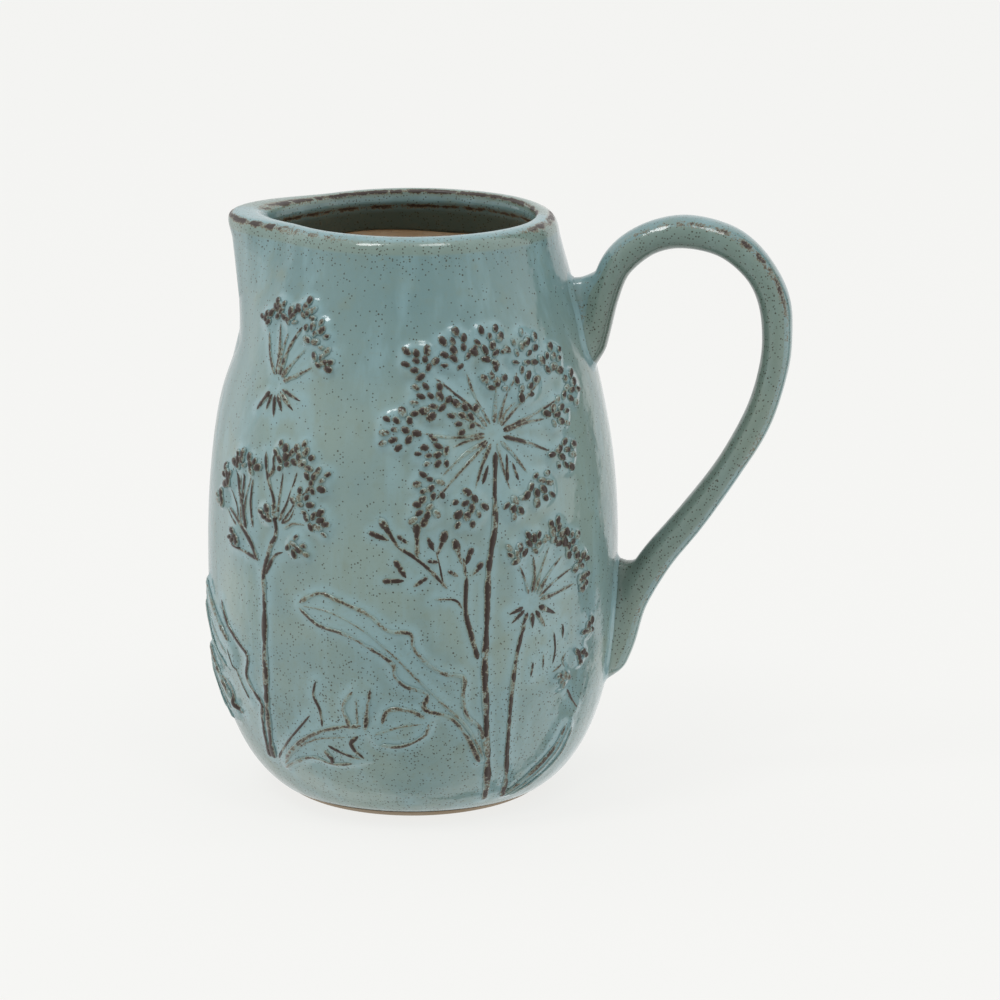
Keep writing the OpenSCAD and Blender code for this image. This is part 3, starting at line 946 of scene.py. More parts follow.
@dataclass(frozen=True)
class Specks:
    """Round specks, one at most in each cell.

    The largest one's radius is a share of a cell. Share is how many cells hold a speck where
    they lie thickest.
    """

    cell_mm: float
    largest: float
    share: float
    growth: float = 6
    edge: Rise = Rise(-0.02, 0.06)

    def spots(self, tree: Tree, where: Socket, density: Socket) -> Socket:
        """Adds the specks to a tree.

        Args:
            tree: The material's node tree.
            where: The piece's own coordinates.
            density: 0 for no specks and 1 for as many as share allows.

        Returns:
            1 on a speck and 0 off it.
        """
        cells = add_node(tree, "ShaderNodeTexVoronoi", {
            "Vector": where, "Scale": 1 / (self.cell_mm * MM)}).outputs
        pick = add_node(tree, "ShaderNodeSeparateColor", {0: cells["Color"]})
        floor = add_node(tree, MATH, {0: density, 1: -self.share, 2: 1.0},
                         operation="MULTIPLY_ADD")
        over = add_node(tree, MATH, {0: pick, 1: floor}, operation="SUBTRACT")
        grown = add_node(tree, MATH, {0: over, 1: self.growth * self.largest},
                         operation="MULTIPLY")
        radius = add_node(tree, MATH, {0: grown, 1: self.largest}, operation="MINIMUM")
        within = add_node(tree, MATH, {0: radius, 1: cells["Distance"]}, operation="SUBTRACT")
        return self.edge.of(tree, within)


@dataclass(frozen=True)
class ReactiveGlaze(Finish):
    """Glossy reactive stoneware glaze, dipped and fired.

    It pools bluish beside the relief, thins to olive on bends, breaks to iron brown on edges
    and carries iron specks. Runs are stretched downwards, as the glaze flowed in the kiln.
    """

    name: str = "reactive_teal_glaze"
    sage: str = "#80958f"
    teal: str = "#768f8e"
    # Darker and bluer towards the neck: partly the glaze's own tone, partly painted shade.
    neck: str = "#658385"
    # Bluish pooled glaze; the same colour also paints light on the front of the lip and the
    # handle's outer face.
    pool: str = "#86a6ac"
    thin: str = "#75806c"
    # Painted shade: darkens the inside of the neck and the handle's inner face.
    deep: str = "#46534a"
    iron: str = "#241008"
    fringe: str = "#6b5f45"
    speck: str = "#33301f"
    clouds: Patches = Patches(38, Rise(0.38, 0.62))
    runs: Patches = Patches(7, Rise(0.45, 0.75, 0, 0.45))
    run_squash: float = 0.16
    thinning: Patches = Patches(9, Rise(0.52, 0.78, 0, 0.4))
    mottle: Patches = Patches(1.4, Rise(0.5, 0.75, 0, 0.5), 3, 0.65)
    mottle_where_speckled: Rise = Rise(0.75, 1.0, 0, 0.5)
    neck_tone_and_shade: Rise = Rise(0.140, 0.185, 0, 0.75)
    pool_and_light_share: float = 0.6
    specks: Specks = Specks(2.4, 0.15, 0.8)
    dust: Specks = Specks(1.05, 0.28, 1.0)
    dust_share: float = 0.85
    speck_share: float = 0.9
    rubbing: Patches = Patches(5, Rise(0.38, 0.56, 0.5, 1.0), 2)
    ragged: Patches = Patches(0.8, detail=4, rough=0.75)
    ragged_by: float = 1.5
    fringe_wear: Rise = Rise(0.27, 0.5)
    fringe_share: float = 0.8
    bare_wear: Rise = Rise(0.50, 0.62)
    bare_share: float = 0.95
    fine_peel: Patches = Patches(2.6, detail=1)
    fine_share: float = 0.13
    broad_peel: Patches = Patches(9, detail=2)
    peel_mm: float = 0.38
    grit: Patches = Patches(0.8, detail=2)
    grit_wear: Rise = Rise(0.5, 0.7, 0.02, 0.5)
    grit_mm: float = 0.15
    roughness: Rise = Rise(0.45, 0.7, 0.13, 0.38)
    ior: float = 1.52

    def surface(self, tree: Tree, where: Socket) -> Socket:
        """Builds the glaze's colour, specks, breaks, gloss and orange peel.

        Args:
            tree: The material's node tree.
            where: The piece's own coordinates.

        Returns:
            The shader.
        """
        painted = {name: add_node(tree, "ShaderNodeAttribute",
                                  attribute_name=name).outputs["Fac"]
                   for name in ("pool", "break", "speckle", "deep")}
        rubbed = add_node(tree, MATH, {
            0: painted["break"], 1: self.rubbing.share(tree, where)}, operation="MULTIPLY")
        edge = add_node(tree, MATH, {
            0: self.ragged.cloud(tree, where), 1: self.ragged_by, 2: -self.ragged_by / 2},
            operation="MULTIPLY_ADD")
        worn = add_node(tree, MATH, {0: rubbed, 1: edge}, operation="ADD").outputs[0]
        return add_node(tree, PRINCIPLED, {
            "Base Color": self._colour(tree, where, worn, painted),
            "Roughness": self.roughness.of(tree, worn), "IOR": self.ior,
            "Normal": self._peel(tree, where, worn)}).outputs[0]

    def _colour(self, tree: Tree, where: Socket,
                worn: Socket,
                painted: dict[str, Socket]) -> Socket:
        """Lays the glaze's colours over each other.

        Args:
            tree: The material's node tree.
            where: The piece's own coordinates.
            worn: How far the glaze has worn off the clay's iron.
            painted: The numbers that the mesh carries, by name.

        Returns:
            The colour.
        """
        speckled = painted["speckle"]
        height = add_node(tree, AXES, {0: where}).outputs[2]
        flow = add_node(tree, "ShaderNodeMapping", {
            "Vector": where, "Scale": (1, 1, self.run_squash)})
        mottled = add_node(tree, MATH, {0: self.mottle.share(tree, where), 1: speckled},
                           operation="MULTIPLY")
        olive = add_node(tree, MATH, {0: self.thinning.share(tree, where), 1: mottled},
                         operation="MAXIMUM")
        olive = add_node(tree, MATH, {
            0: olive, 1: self.mottle_where_speckled.of(tree, speckled)}, operation="MAXIMUM")
        dust = add_node(tree, MATH, {
            0: self.dust.spots(tree, where, speckled), 1: self.dust_share},
            operation="MULTIPLY")
        spots = add_node(tree, MATH, {0: self.specks.spots(tree, where, speckled), 1: dust},
                         operation="MAXIMUM")
        pooled_and_lit, spotted, fringed, bared = (
            add_node(tree, MATH, {0: value, 1: share}, operation="MULTIPLY")
            for value, share in (
                (painted["pool"], self.pool_and_light_share), (spots, self.speck_share),
                (self.fringe_wear.of(tree, worn), self.fringe_share),
                (self.bare_wear.of(tree, worn), self.bare_share)))
        return self.lay(tree, linear(self.sage), (
            (self.clouds.share(tree, where), self.teal),
            # Neck colour by height: glaze tone plus painted shade.
            (self.neck_tone_and_shade.of(tree, height), self.neck),
            (self.runs.share(tree, flow), self.pool), (pooled_and_lit, self.pool), (olive, self.thin),
            (painted["deep"], self.deep), (spotted, self.speck), (fringed, self.fringe),
            (bared, self.iron)))

    def _peel(self, tree: Tree, where: Socket, worn: Socket) -> Socket:
        """Orange peel all over the glaze, with grit where it has worn off.

        Args:
            tree: The material's node tree.
            where: The piece's own coordinates.
            worn: How far the glaze has worn.

        Returns:
            The bumped direction out of the surface.
        """
        fine = add_node(tree, MATH, {
            0: self.fine_peel.cloud(tree, where), 1: self.fine_share}, operation="MULTIPLY")
        peel = add_node(tree, MATH, {0: fine, 1: self.broad_peel.cloud(tree, where)},
                        operation="ADD")
        bump = add_node(tree, "ShaderNodeBump", {
            "Height": peel, "Strength": 1.0, "Distance": self.peel_mm * MM})
        return add_node(tree, "ShaderNodeBump", {
            "Height": self.grit.cloud(tree, where), "Strength": self.grit_wear.of(tree, worn),
            "Distance": self.grit_mm * MM, "Normal": bump}).outputs[0]


@dataclass(frozen=True)
class BareStoneware(Finish):
    """Unglazed stoneware, thrown and fired: dull, pinkish tan and slightly sandy.

    Its lowest few millimetres are darker: painted shade where the foot meets the floor.
    """

    name: str = "bare_fired_stoneware"
    light: str = "#ead8be"
    dark: str = "#dac2a2"
    sand: str = "#8a6a50"
    # Painted shade at the foot, where it meets the floor.
    foot_shade: str = "#6e5f4d"
    clouds: Patches = Patches(16, Rise(0.35, 0.65))
    grain: Patches = Patches(0.9, Rise(0.62, 0.72, 0, 0.6), 4, 0.7)
    grain_strength: float = 0.4
    grain_mm: float = 0.25
    foot_shade_height: Rise = Rise(0.003, 0.006, 0.8, 0)
    roughness: float = 0.82
    ior: float = 1.45

    def surface(self, tree: Tree, where: Socket) -> Socket:
        """Builds the clay's colour, sand and dull surface.

        Args:
            tree: The material's node tree.
            where: The piece's own coordinates.

        Returns:
            The shader.
        """
        height = add_node(tree, AXES, {0: where}).outputs[2]
        grain = self.grain.cloud(tree, where)
        colour = self.lay(tree, linear(self.light), (
            (self.clouds.share(tree, where), self.dark),
            (self.grain.rise.of(tree, grain), self.sand),
            # Painted shade, fading out a few millimetres above the bottom.
            (self.foot_shade_height.of(tree, height), self.foot_shade)))
        bump = add_node(tree, "ShaderNodeBump", {
            "Height": grain, "Strength": self.grain_strength,
            "Distance": self.grain_mm * MM})
        return add_node(tree, PRINCIPLED, {
            "Base Color": colour, "Roughness": self.roughness, "IOR": self.ior,
            "Normal": bump}).outputs[0]


# Brightness of the boards round the pot: a bearing and a level for each, from -180 to 180.
BRIGHTEST = 2.0
BANDS = ((-180, 0.8), (-150, 1.0), (-120, 0.65), (-81, 0.4), (-45, 0.7), (-15, 1.05), (4, 1.4),
         (22, 1.35), (25, 0.06), (47, 0.06), (51, 1.05), (92, 1.0), (104, 0.8), (135, 0.8),
         (150, 1.35), (168, 1.3), (180, 0.8))


def surroundings(tree: Tree, where: Socket) -> Socket:
    """Pale boards and dark gaps that stand round the pot and show in its gloss.

    Args:
        tree: The node tree.
        where: A direction as seen from the pot.

    Returns:
        A grey, as a share of the brightest board.
    """
    spot = add_node(tree, AXES, {0: where}).outputs
    bearing = add_node(tree, MATH, {0: spot[1], 1: spot[0]}, operation="ARCTAN2")
    turn = add_node(tree, RANGE, {"Value": bearing, "From Min": -math.pi, "From Max": math.pi})
    band = add_node(tree, "ShaderNodeValToRGB", {0: turn})
    elements = band.color_ramp.elements
    elements.remove(elements[1])
    for k, (bearing, level) in enumerate(BANDS):
        element = elements[0] if k == 0 else elements.new((bearing + 180) / 360)
        element.position = (bearing + 180) / 360
        element.color = (level / BRIGHTEST,) * 3 + (1,)
    return band.outputs[0]


@dataclass(frozen=True)
class StudioPaper(Finish):
    """Matt white background paper, with a little light of its own so that it stays even."""

    name: str = "studio_paper"
    colour: str = "#f3f3f1"
    dull: str = "#5c5c5b"
    glow: float = 0.888

    def surface(self, tree: Tree, where: Socket) -> Socket:
        """Builds a matt sheet with light of its own, which is clear from below.

        Args:
            tree: The material's node tree.
            where: The sheet's own coordinates, which plain paper has no use for.

        Returns:
            The shader.
        """
        sheet = add_node(tree, PRINCIPLED, {
            "Base Color": linear(self.dull), "Roughness": 1.0, "Specular IOR Level": 0.0,
            "Emission Color": linear(self.colour), "Emission Strength": self.glow})
        under = add_node(tree, "ShaderNodeNewGeometry").outputs["Backfacing"]
        clear = add_node(tree, "ShaderNodeBsdfTransparent")
        return add_node(tree, "ShaderNodeMixShader", {0: under, 1: sheet, 2: clear}).outputs[0]


# ---- Clay --------------------------------------------------------------------------------


@dataclass
class ClayPot:
    """The thrown clay under the glaze: wall and neck, floor slab and bare foot ring."""

    pot: PotShape
    columns: int = 240
    hidden_rows: int = 24
    inner_step: float = 2.2
    throwing_ring_mm: float = 5.5
    throwing_ring_depth: float = 0.16
    spiral_depth: float = 0.25
    smooth_neck: float = 25
    foot_edge: float = 0.7

    def build(self, clay: Material) -> None:
        """Builds and dresses the three clay pieces."""
        dress(self._wall(), clay, ["body_wall", "neck_and_spout"])
        dress(self._floor(), clay, ["base_slab"])
        dress(self._foot(), clay, ["foot_ring"])

    def _wall(self) -> Piece:
        """The wall from the foot ring to the rim, hidden outside and bare inside."""
        pot = self.pot
        a = bearings(self.columns)
        top = pot.height - pot.coat - pot.rim_t / 2
        outside = np.linspace(pot.foot_h, top, self.hidden_rows)
        lip = np.radians(np.linspace(0, 180, 9)[1:-1])
        inside = np.linspace(top, pot.floor_t, int((top - pot.floor_t) / self.inner_step))
        rings = self.throwing_ring_depth * np.sin(inside * 2 * np.pi / self.throwing_ring_mm)
        z = np.concatenate([outside, top + pot.rim_t / 2 * np.sin(lip), inside])
        depth = np.concatenate([
            np.full(len(outside), pot.coat),
            pot.coat + pot.rim_t / 2 * (1 - np.cos(lip)),
            pot.coat + pot.neck_t(inside) + rings * (inside < top - self.smooth_neck)])
        depth = depth[:, None] + 0 * a
        depth[len(outside) + len(lip):] += pot.inner_fill(a, inside[:, None])
        rows = pot.at_depth(a, z[:, None], depth)
        heel = np.stack([self._ring(pot.floor_r, pot.floor_t, a),
                         self._ring(pot.floor_r, pot.foot_h, a)])
        points = np.vstack([rows, heel])
        return new_mesh("stoneware_wall", points.reshape(-1, 3),
                        grid_faces(len(points), self.columns, True))

    def _ring(self, r: float, z: float, a: np.ndarray) -> np.ndarray:
        """A level ring of points."""
        turn = np.radians(a[0])
        return np.stack([r * np.cos(turn), r * np.sin(turn), np.full(turn.shape, z)], axis=-1)

    def _floor(self) -> Piece:
        """The floor slab, with a throwing spiral inside and a flat dry base."""
        pot, a = self.pot, bearings(self.columns)
        under = [(r, 0.0) for r in (6, 14, 22, 30, pot.floor_r - 0.4)]
        over = [(r, pot.floor_t + self.spiral_depth
                 * math.sin(r * 2 * math.pi / self.throwing_ring_mm))
                for r in np.arange(pot.floor_r - 1, 2, -1.0)]
        section = under + [(pot.floor_r, 0.4), (pot.floor_r, pot.floor_t)] + over
        points = np.vstack([self._ring(r, z, a) for r, z in section]
                           + [np.array([[0, 0, 0], [0, 0, pot.floor_t]])])
        n, m = self.columns, len(section)
        faces = grid_faces(m, n, False).tolist()
        low, high = m * n, m * n + 1
        faces += [[low, (k + 1) % n, k] for k in range(n)]
        faces += [[high, (m - 1) * n + k, (m - 1) * n + (k + 1) % n] for k in range(n)]
        return new_mesh("stoneware_floor", points, faces)

    def _foot(self) -> Piece:
        """The bare foot ring, wiped clean of glaze and worn round at its edge."""
        pot, a = self.pot, bearings(self.columns)
        edge = self.foot_edge
        section = [(pot.floor_r, pot.foot_h), (pot.floor_r, 0.0), (pot.floor_r + 3, 0.0),
                   (pot.foot_r - edge, 0.0), (pot.foot_r - 0.1, 0.12),
                   (float(pot.outer(np.array(edge))) - 0.05, edge)]
        section += [(float(pot.outer(np.array(z))) - tuck, z)
                    for z, tuck in ((1.3, 0.05), (1.8, 0.1), (2.4, 0.5), (pot.foot_h, 0.5))]
        points = np.stack([self._ring(r, z, a) for r, z in section])
        return new_mesh("bare_foot_ring", points.reshape(-1, 3),
                        grid_faces(len(section), self.columns, True))


# ---- Glaze coat --------------------------------------------------------------------------


@dataclass
class GlazeCoat:
    """The glaze over the outside, the rim and a band inside it, swollen over the relief."""

    pot: PotShape
    relief: Relief
    columns: int = 384
    outer_rows: int = 192
    lip_rows: int = 18
    inner_rows: int = 14
    hidden_rows: int = 7
    lip_proud: float = 0.7
    lip_crest: float = 4.9
    outer_round: float = 5.0
    inner_round: float = 3.0
    outer_power: float = 0.85
    inner_power: float = 0.6
    inside_band: float = 14.8
    band_wander: float = 1.0
    bead: float = 0.8
    bead_drop: float = 5.2
    foot_edge: float = 3.7
    foot_wander: float = 0.3
    crest_wander: float = 0.12
    spout_half_angle: float = 50
    outer_wear: Place = (52, 19)
    inner_wear: Place = (136, 27)
    wear_wander: float = 0.14
    pool_ring: Place = (1.6, 1.7)
    plain_speckle: float = 0.7

    def build(self, glaze: Material) -> None:
        """Builds and dresses the coat."""
        dress(self._coat(), glaze, ["body_coat", "rim_coat"])

    def _coat(self) -> Piece:
        """One closed skin: up the outside, over the lip, down the band and back underneath."""
        pot, a = self.pot, bearings(self.columns)
        shoulder = pot.height - self.outer_round
        share = np.linspace(0, 1, self.outer_rows)[:, None]
        z_out = self.foot_edge + self.foot_wander * wander(a, 5) * (1 - share) ** 8 \
            + (shoulder - self.foot_edge) * share
        near = self._distances(a, z_out)
        outside = pot.raised(a + 0 * z_out, z_out, self._lift(a, z_out, near))
        top = pot.height + self.lip_proud + self.crest_wander * wander(a, 13) \
            + pot.lip_up * hump(off_lip(a), self.spout_half_angle)
        turn = np.radians(np.linspace(0, 180, self.lip_rows + 2)[1:-1])[:, None]
        over = self._over_lip(a, turn, top, shoulder)
        start = top - self.inner_round
        end = pot.height - self.inside_band + self.band_wander * wander(a, 9, 7)
        z_in = start + (end - start) * np.linspace(0, 1, self.inner_rows)[:, None]
        bead = self.bead * smooth_step(0, 1.2, z_in - (pot.height - self.bead_drop)) \
            * smooth_step(0, 2.0, start + 1 - z_in)
        inside = self._inner(a, z_in, pot.coat + bead)
        back_up = np.linspace(0, 1, self.hidden_rows)[:, None]
        hidden_in = self._inner(a, end + (start - end) * back_up, 0)
        crown = pot.at_depth(a, pot.height - pot.coat + 0 * a, pot.coat + pot.rim_t / 2 + 0 * a)
        z_down = shoulder + (self.foot_edge - shoulder) * back_up
        hidden_out = pot.at_depth(a + 0 * z_down, z_down, pot.coat + 0 * z_down)
        points = np.vstack([outside, over, inside, hidden_in, crown, hidden_out])
        painted = ((outside, self._outside_paint(a, z_out, near)),
                   (over, self._lip_paint(a, np.degrees(turn))), (inside, self._band_paint(z_in)))
        paint = {}
        for name, plain in (("break", 0.0), ("pool", 0.0), ("speckle", self.plain_speckle),
                            ("deep", 0.0)):
            paint[name], row = np.full(points.shape[:2], plain), 0
            for part, values in painted:
                paint[name][row:row + len(part)] = values.get(name, plain)
                row += len(part)
        return new_mesh("glaze_coat", points.reshape(-1, 3),
                        grid_faces(len(points), self.columns, True), paint)

    def _inner(self, a: np.ndarray, z: np.ndarray, proud: Any) -> np.ndarray:
        """Points that stand proud of the clay inside the neck."""
        pot = self.pot
        return pot.at_depth(a + 0 * z, z, pot.coat + pot.neck_t(z) + proud + pot.inner_fill(a, z))

    def _over_lip(self, a: np.ndarray, turn: np.ndarray, top: np.ndarray,
                  shoulder: float) -> np.ndarray:
        """Points over the lip: a long round outside, a crest, and a short round inside.

        Args:
            a: Bearings of the columns.
            turn: Angles over the lip in radians, from 0 outside to pi inside.
            top: Height of the crest in each column.
            shoulder: Height at which the round outside begins.

        Returns:
            X, Y and Z by row and column.
        """
        pot, out = self.pot, np.cos(turn) > 0
        full = 2 * pot.coat + pot.rim_t + pot.inner_fill(a, top)
        power = np.where(out, self.outer_power, self.inner_power)
        reach = np.where(out, self.lip_crest, full - self.lip_crest)
        depth = self.lip_crest - np.sign(np.cos(turn)) * np.abs(np.cos(turn)) ** power * reach
        drop = np.where(out, top - shoulder, self.inner_round)
        return pot.at_depth(a + 0 * turn, top - drop * (1 - np.sin(turn) ** power), depth)

    def _rim_break(self, a: np.ndarray, angle: np.ndarray) -> np.ndarray:
        """How far the glaze has worn to iron over the lip.

        Args:
            a: Bearings of the lip's columns.
            angle: Angles over the lip, from 0 outside to 180 inside.

        Returns:
            The wear at each place.
        """
        rub, back = self.wear_wander * wander(a, 3, 9), self._back(a)
        spout = 1 - smooth_step(22, 75, off_lip(a))
        handle_side = 1 - smooth_step(8, 26, np.abs(a + 6))
        outer_share = 0.84 * spout + 0.74 * handle_side + 0.42 * back + 0.34
        return bell(angle, *self.outer_wear) * np.clip(outer_share + rub, 0, 0.98) \
            + bell(angle, *self.inner_wear) * back * (0.95 + rub)

    def _back(self, a: np.ndarray) -> np.ndarray:
        """1 behind the pot and 0 in front of it."""
        return smooth_step(-0.12, 0.15, np.sin(np.radians(a)))

    def _lift(self, a: np.ndarray, z: np.ndarray, near: np.ndarray) -> np.ndarray:
        """How far the glazed outside stands off its plain outline.

        Args:
            a: Bearings in degrees.
            z: Heights.
            near: Distances to the relief.

        Returns:
            Lifts above the plain surface.
        """
        shoulder = bell(near, 0, self.relief.shoulder_reach)
        return self.relief.swell(a, z) + self.relief.shoulder * shoulder \
            * smooth_step(self.pot.foot_h, self.pot.foot_h + 5, z)

    def _distances(self, a: np.ndarray, z: np.ndarray) -> np.ndarray:
        """Distance from each place to the nearest line or seed of the relief."""
        tree = self.relief.marks()
        points = self.pot.at_depth(a + 0 * z, z, 0 * z)
        found = np.array([tree.find(p)[2] for p in points.reshape(-1, 3)])
        return found.reshape(points.shape[:2])

    def _outside_paint(self, a: np.ndarray, z: np.ndarray,
                       near: np.ndarray) -> dict[str, np.ndarray]:
        """Where the glaze breaks, pools and carries specks on the outside.

        Args:
            a: Bearings in degrees.
            z: Heights.
            near: Distances to the relief.

        Returns:
            The numbers that the finish reads, by name.
        """
        top = self.pot.height
        low, high = 1 - smooth_step(15, 120, z), smooth_step(top - 12, top - 4, z)
        return {"pool": bell(near, *self.pool_ring),
                "speckle": np.minimum(0.34 + 0.45 * low + 0.45 * high, 0.78),
                "break": 0.16 * bell(near, 0, 2.2)
                + 0.22 * high * (0.6 + 0.4 * wander(a, 4, 9))}

    def _lip_paint(self, a: np.ndarray, angle: np.ndarray) -> dict[str, np.ndarray]:
        """The same over the lip, where the front's inner edge is pale: pooled glaze, with painted
        light that makes it paler in front than behind.

        Args:
            a: Bearings in degrees.
            angle: Angles over the lip, from 0 outside to 180 inside.

        Returns:
            The numbers that the finish reads, by name.
        """
        back, over = self._back(a), smooth_step(35, 80, angle)
        # Pool colour and fewer specks on the inner edge, stronger in front than behind: pooled
        # glaze plus painted light.
        return {"break": self._rim_break(a, angle), "pool": 0.35 + 0.6 * over * (1 - 0.8 * back),
                "speckle": 1 - 0.4 * over * (1 - back)}

    def _band_paint(self, z: np.ndarray) -> dict[str, np.ndarray]:
        """The same on the band inside, which breaks along its bead and has painted shade below it.
        """
        line = self.pot.height - self.bead_drop
        return {"break": 0.82 * bell(z, line, 0.9),
                # Painted shade inside the neck, darkest below the bead.
                "deep": 0.2 + 0.8 * smooth_step(-0.5, 2.5, line - z)}


# ---- Sprigs ------------------------------------------------------------------------------


# What the points of a sprig carry, with each one's kind.
SPRIG_ATTRIBUTES = {"out": "FLOAT_VECTOR", "along": "FLOAT_VECTOR", "thickness": "FLOAT",
                    "wear": "FLOAT", "crest": "FLOAT", "seed_length": "FLOAT",
                    "seed_width": "FLOAT"}


@dataclass
class SprigMaker:
    """Turns each sprig's layout into one mesh with a Geometry Nodes tree."""

    relief: Relief
    line_sides: int = 12
    seed_sides: int = 10
    seed_rings: int = 5
    seed_height: float = 0.95
    sink: float = 0.30
    line_depth: float = 0.05
    seed_depth: float = 0.1
    line_swell: Place = (0.66, 1.12)
    end_steps: float = 2.2

    def build(self, glaze: Material) -> None:
        """Builds and dresses every sprig."""
        tree = self._tree()
        for sprig in SPRIGS:
            piece = self._sprig(sprig, tree, glaze)
            dress(piece, glaze, [sprig.node])

    def _surface(self, places: np.ndarray, drop: float) -> tuple[np.ndarray, np.ndarray]:
        """Points on the swollen coat and the directions out of it.

        Args:
            places: Rows of bearing and height.
            drop: How far under the surface the points lie.

        Returns:
            The points and the directions.
        """
        a, z = places[:, 0], places[:, 1]
        pot, step = self.relief.pot, 0.8
        lift = self.relief.swell(a, z) + self.relief.shoulder
        across = np.degrees(step / pot.outer(z))
        sides = []
        for da, dz in ((across, 0), (-across, 0), (0 * z, step), (0 * z, -step)):
            sides.append(pot.raised(a + da, z + dz, self.relief.swell(a + da, z + dz)))
        out = np.cross(sides[0] - sides[1], sides[2] - sides[3])
        out /= np.linalg.norm(out, axis=1, keepdims=True)
        return pot.raised(a, z, lift - drop), out

    def _line_curves(self, layout: SprigLayout, rng: np.random.Generator) -> Piece:
        """A curve object with one spline for each line, whose radius swells and thins.

        Args:
            layout: The sprig's lines and seeds.
            rng: The sprig's own random numbers.

        Returns:
            A mesh object of edges that the tree turns into curves.
        """
        traces, edges, radii, wear, base = [], [], [], [], 0
        for line in layout.lines:
            places = self.relief.trace(line)
            n = len(places)
            t = np.linspace(0, 1, n)
            knots = rng.uniform(*self.line_swell, max(3, n // 4))
            rise = np.interp(t, np.linspace(0, 1, len(knots)), knots)
            ends = np.minimum(1, np.minimum(t, 1 - t) * n / self.end_steps + 0.25)
            traces.append(places)
            radii.append(line.width / 2 * (1 - line.taper * t) * rise * ends)
            wear.append(np.full(n, line.wear))
            edges += [(base + k, base + k + 1) for k in range(n - 1)]
            base += n
        where, out = self._surface(np.vstack(traces), self.line_depth)
        mesh = bpy.data.meshes.new("sprig_lines")
        mesh.from_pydata((where * MM).tolist(), edges, [])
        self._store(mesh, {"out": out, "thickness": np.concatenate(radii) * MM,
                           "wear": np.concatenate(wear)})
        return bpy.data.objects.new("sprig_lines", mesh)

    def _seed_points(self, layout: SprigLayout) -> Piece:
        """A mesh object of loose points, one for each seed."""
        mesh = bpy.data.meshes.new("sprig_seeds")
        if layout.seeds:
            places, turns, lengths, widths = (np.array(column) for column in zip(*layout.seeds))
            where, out = self._surface(places, self.seed_depth)
            ahead = np.array([self.relief.pot.beside(tuple(place), math.sin(f), math.cos(f))
                              for place, f in zip(places, np.radians(turns))])
            mesh.from_pydata((where * MM).tolist(), [], [])
            self._store(mesh, {"out": out,
                               "along": self._surface(ahead, self.seed_depth)[0] - where,
                               "seed_length": lengths * MM, "seed_width": widths * MM})
        return bpy.data.objects.new("sprig_seeds", mesh)

    def _store(self, mesh: bpy.types.Mesh, layers: dict[str, np.ndarray]) -> None:
        """Stores numbers or vectors for each point of a mesh, by name."""
        for name, values in layers.items():
            kind = SPRIG_ATTRIBUTES[name]
            layer = mesh.attributes.new(name, kind, "POINT")
            key = "vector" if kind == "FLOAT_VECTOR" else "value"
            layer.data.foreach_set(key, values.astype(np.float32).ravel())

    def _sprig(self, sprig: Sprig, tree: Tree, glaze: Material) -> Piece:
        """Runs the tree on one sprig's layout and keeps the result as a plain mesh.

        Args:
            sprig: The sprig to build.
            tree: The Geometry Nodes tree.
            glaze: The material that the tree sets.

        Returns:
            The finished piece, with no modifier.
        """
        layout = self.relief.layouts[sprig.node]
        rng = np.random.default_rng(sprig.seed + 100)
        lines, seeds = self._line_curves(layout, rng), self._seed_points(layout)
        piece = bpy.data.objects.new(sprig.node.replace("_sprig", "_relief"), lines.data)
        collection = bpy.context.scene.collection.objects
        collection.link(piece)
        collection.link(seeds)
        modifier = piece.modifiers.new("sprig", "NODES")
        modifier.node_group = tree
        values = {"Seeds": seeds, "Seed height": self.seed_height * MM,
                  "Line height": self.relief.line_height, "Sink": self.sink, "Glaze": glaze}
        for item in tree.interface.items_tree:
            if item.in_out == "INPUT" and item.name in values:
                modifier[item.identifier] = values[item.name]
        bpy.context.view_layer.update()
        graph = bpy.context.evaluated_depsgraph_get()
        finished = bpy.data.meshes.new_from_object(piece.evaluated_get(graph))
        piece.modifiers.remove(modifier)
        finished.name = piece.name
        finished.shade_smooth()
        piece.data = finished
        bpy.data.objects.remove(seeds)
        bpy.data.objects.remove(lines)
        return piece

    def _tree(self) -> Tree:
        """The tree that sweeps the lines, sets a seed on each point and joins them."""
        tree = bpy.data.node_groups.new("raised_sprig", "GeometryNodeTree")
        face = tree.interface
        face.new_socket("Geometry", in_out="INPUT", socket_type="NodeSocketGeometry")
        for name, kind in (("Seeds", "NodeSocketObject"), ("Seed height", "NodeSocketFloat"),
                           ("Line height", "NodeSocketFloat"), ("Sink", "NodeSocketFloat"),
                           ("Glaze", "NodeSocketMaterial")):
            face.new_socket(name, in_out="INPUT", socket_type=kind)
        face.new_socket("Geometry", in_out="OUTPUT", socket_type="NodeSocketGeometry")
        given = add_node(tree, "NodeGroupInput").outputs
        read = {name: add_node(tree, "GeometryNodeInputNamedAttribute", {"Name": name},
                               data_type=kind).outputs[0]
                for name, kind in SPRIG_ATTRIBUTES.items()}
        joined = add_node(tree, "GeometryNodeJoinGeometry")
        for part in (self._line_nodes(tree, given, read), self._seed_nodes(tree, given, read)):
            tree.links.new(part, joined.inputs[0])
        real = add_node(tree, "GeometryNodeRealizeInstances", {0: joined})
        glazed = add_node(tree, "GeometryNodeSetMaterial",
                          {"Geometry": real, "Material": given["Glaze"]})
        add_node(tree, "NodeGroupOutput", {0: glazed})
        return tree

    def _flatten(self, tree: Tree, value: Socket, height: Any, sink: Any) -> Socket:
        """Scales what stands above 0 and what lies under it.

        Args:
            tree: The Geometry Nodes tree.
            value: The number to scale.
            height: What to scale it by above 0.
            sink: What to scale it by under 0.

        Returns:
            The scaled number.
        """
        halves = []
        for side, scale in (("MAXIMUM", height), ("MINIMUM", sink)):
            half = add_node(tree, MATH, {0: value, 1: 0.0}, operation=side)
            halves.append(add_node(tree, MATH, {0: half, 1: scale}, operation="MULTIPLY"))
        return add_node(tree, MATH, dict(enumerate(halves)), operation="ADD").outputs[0]

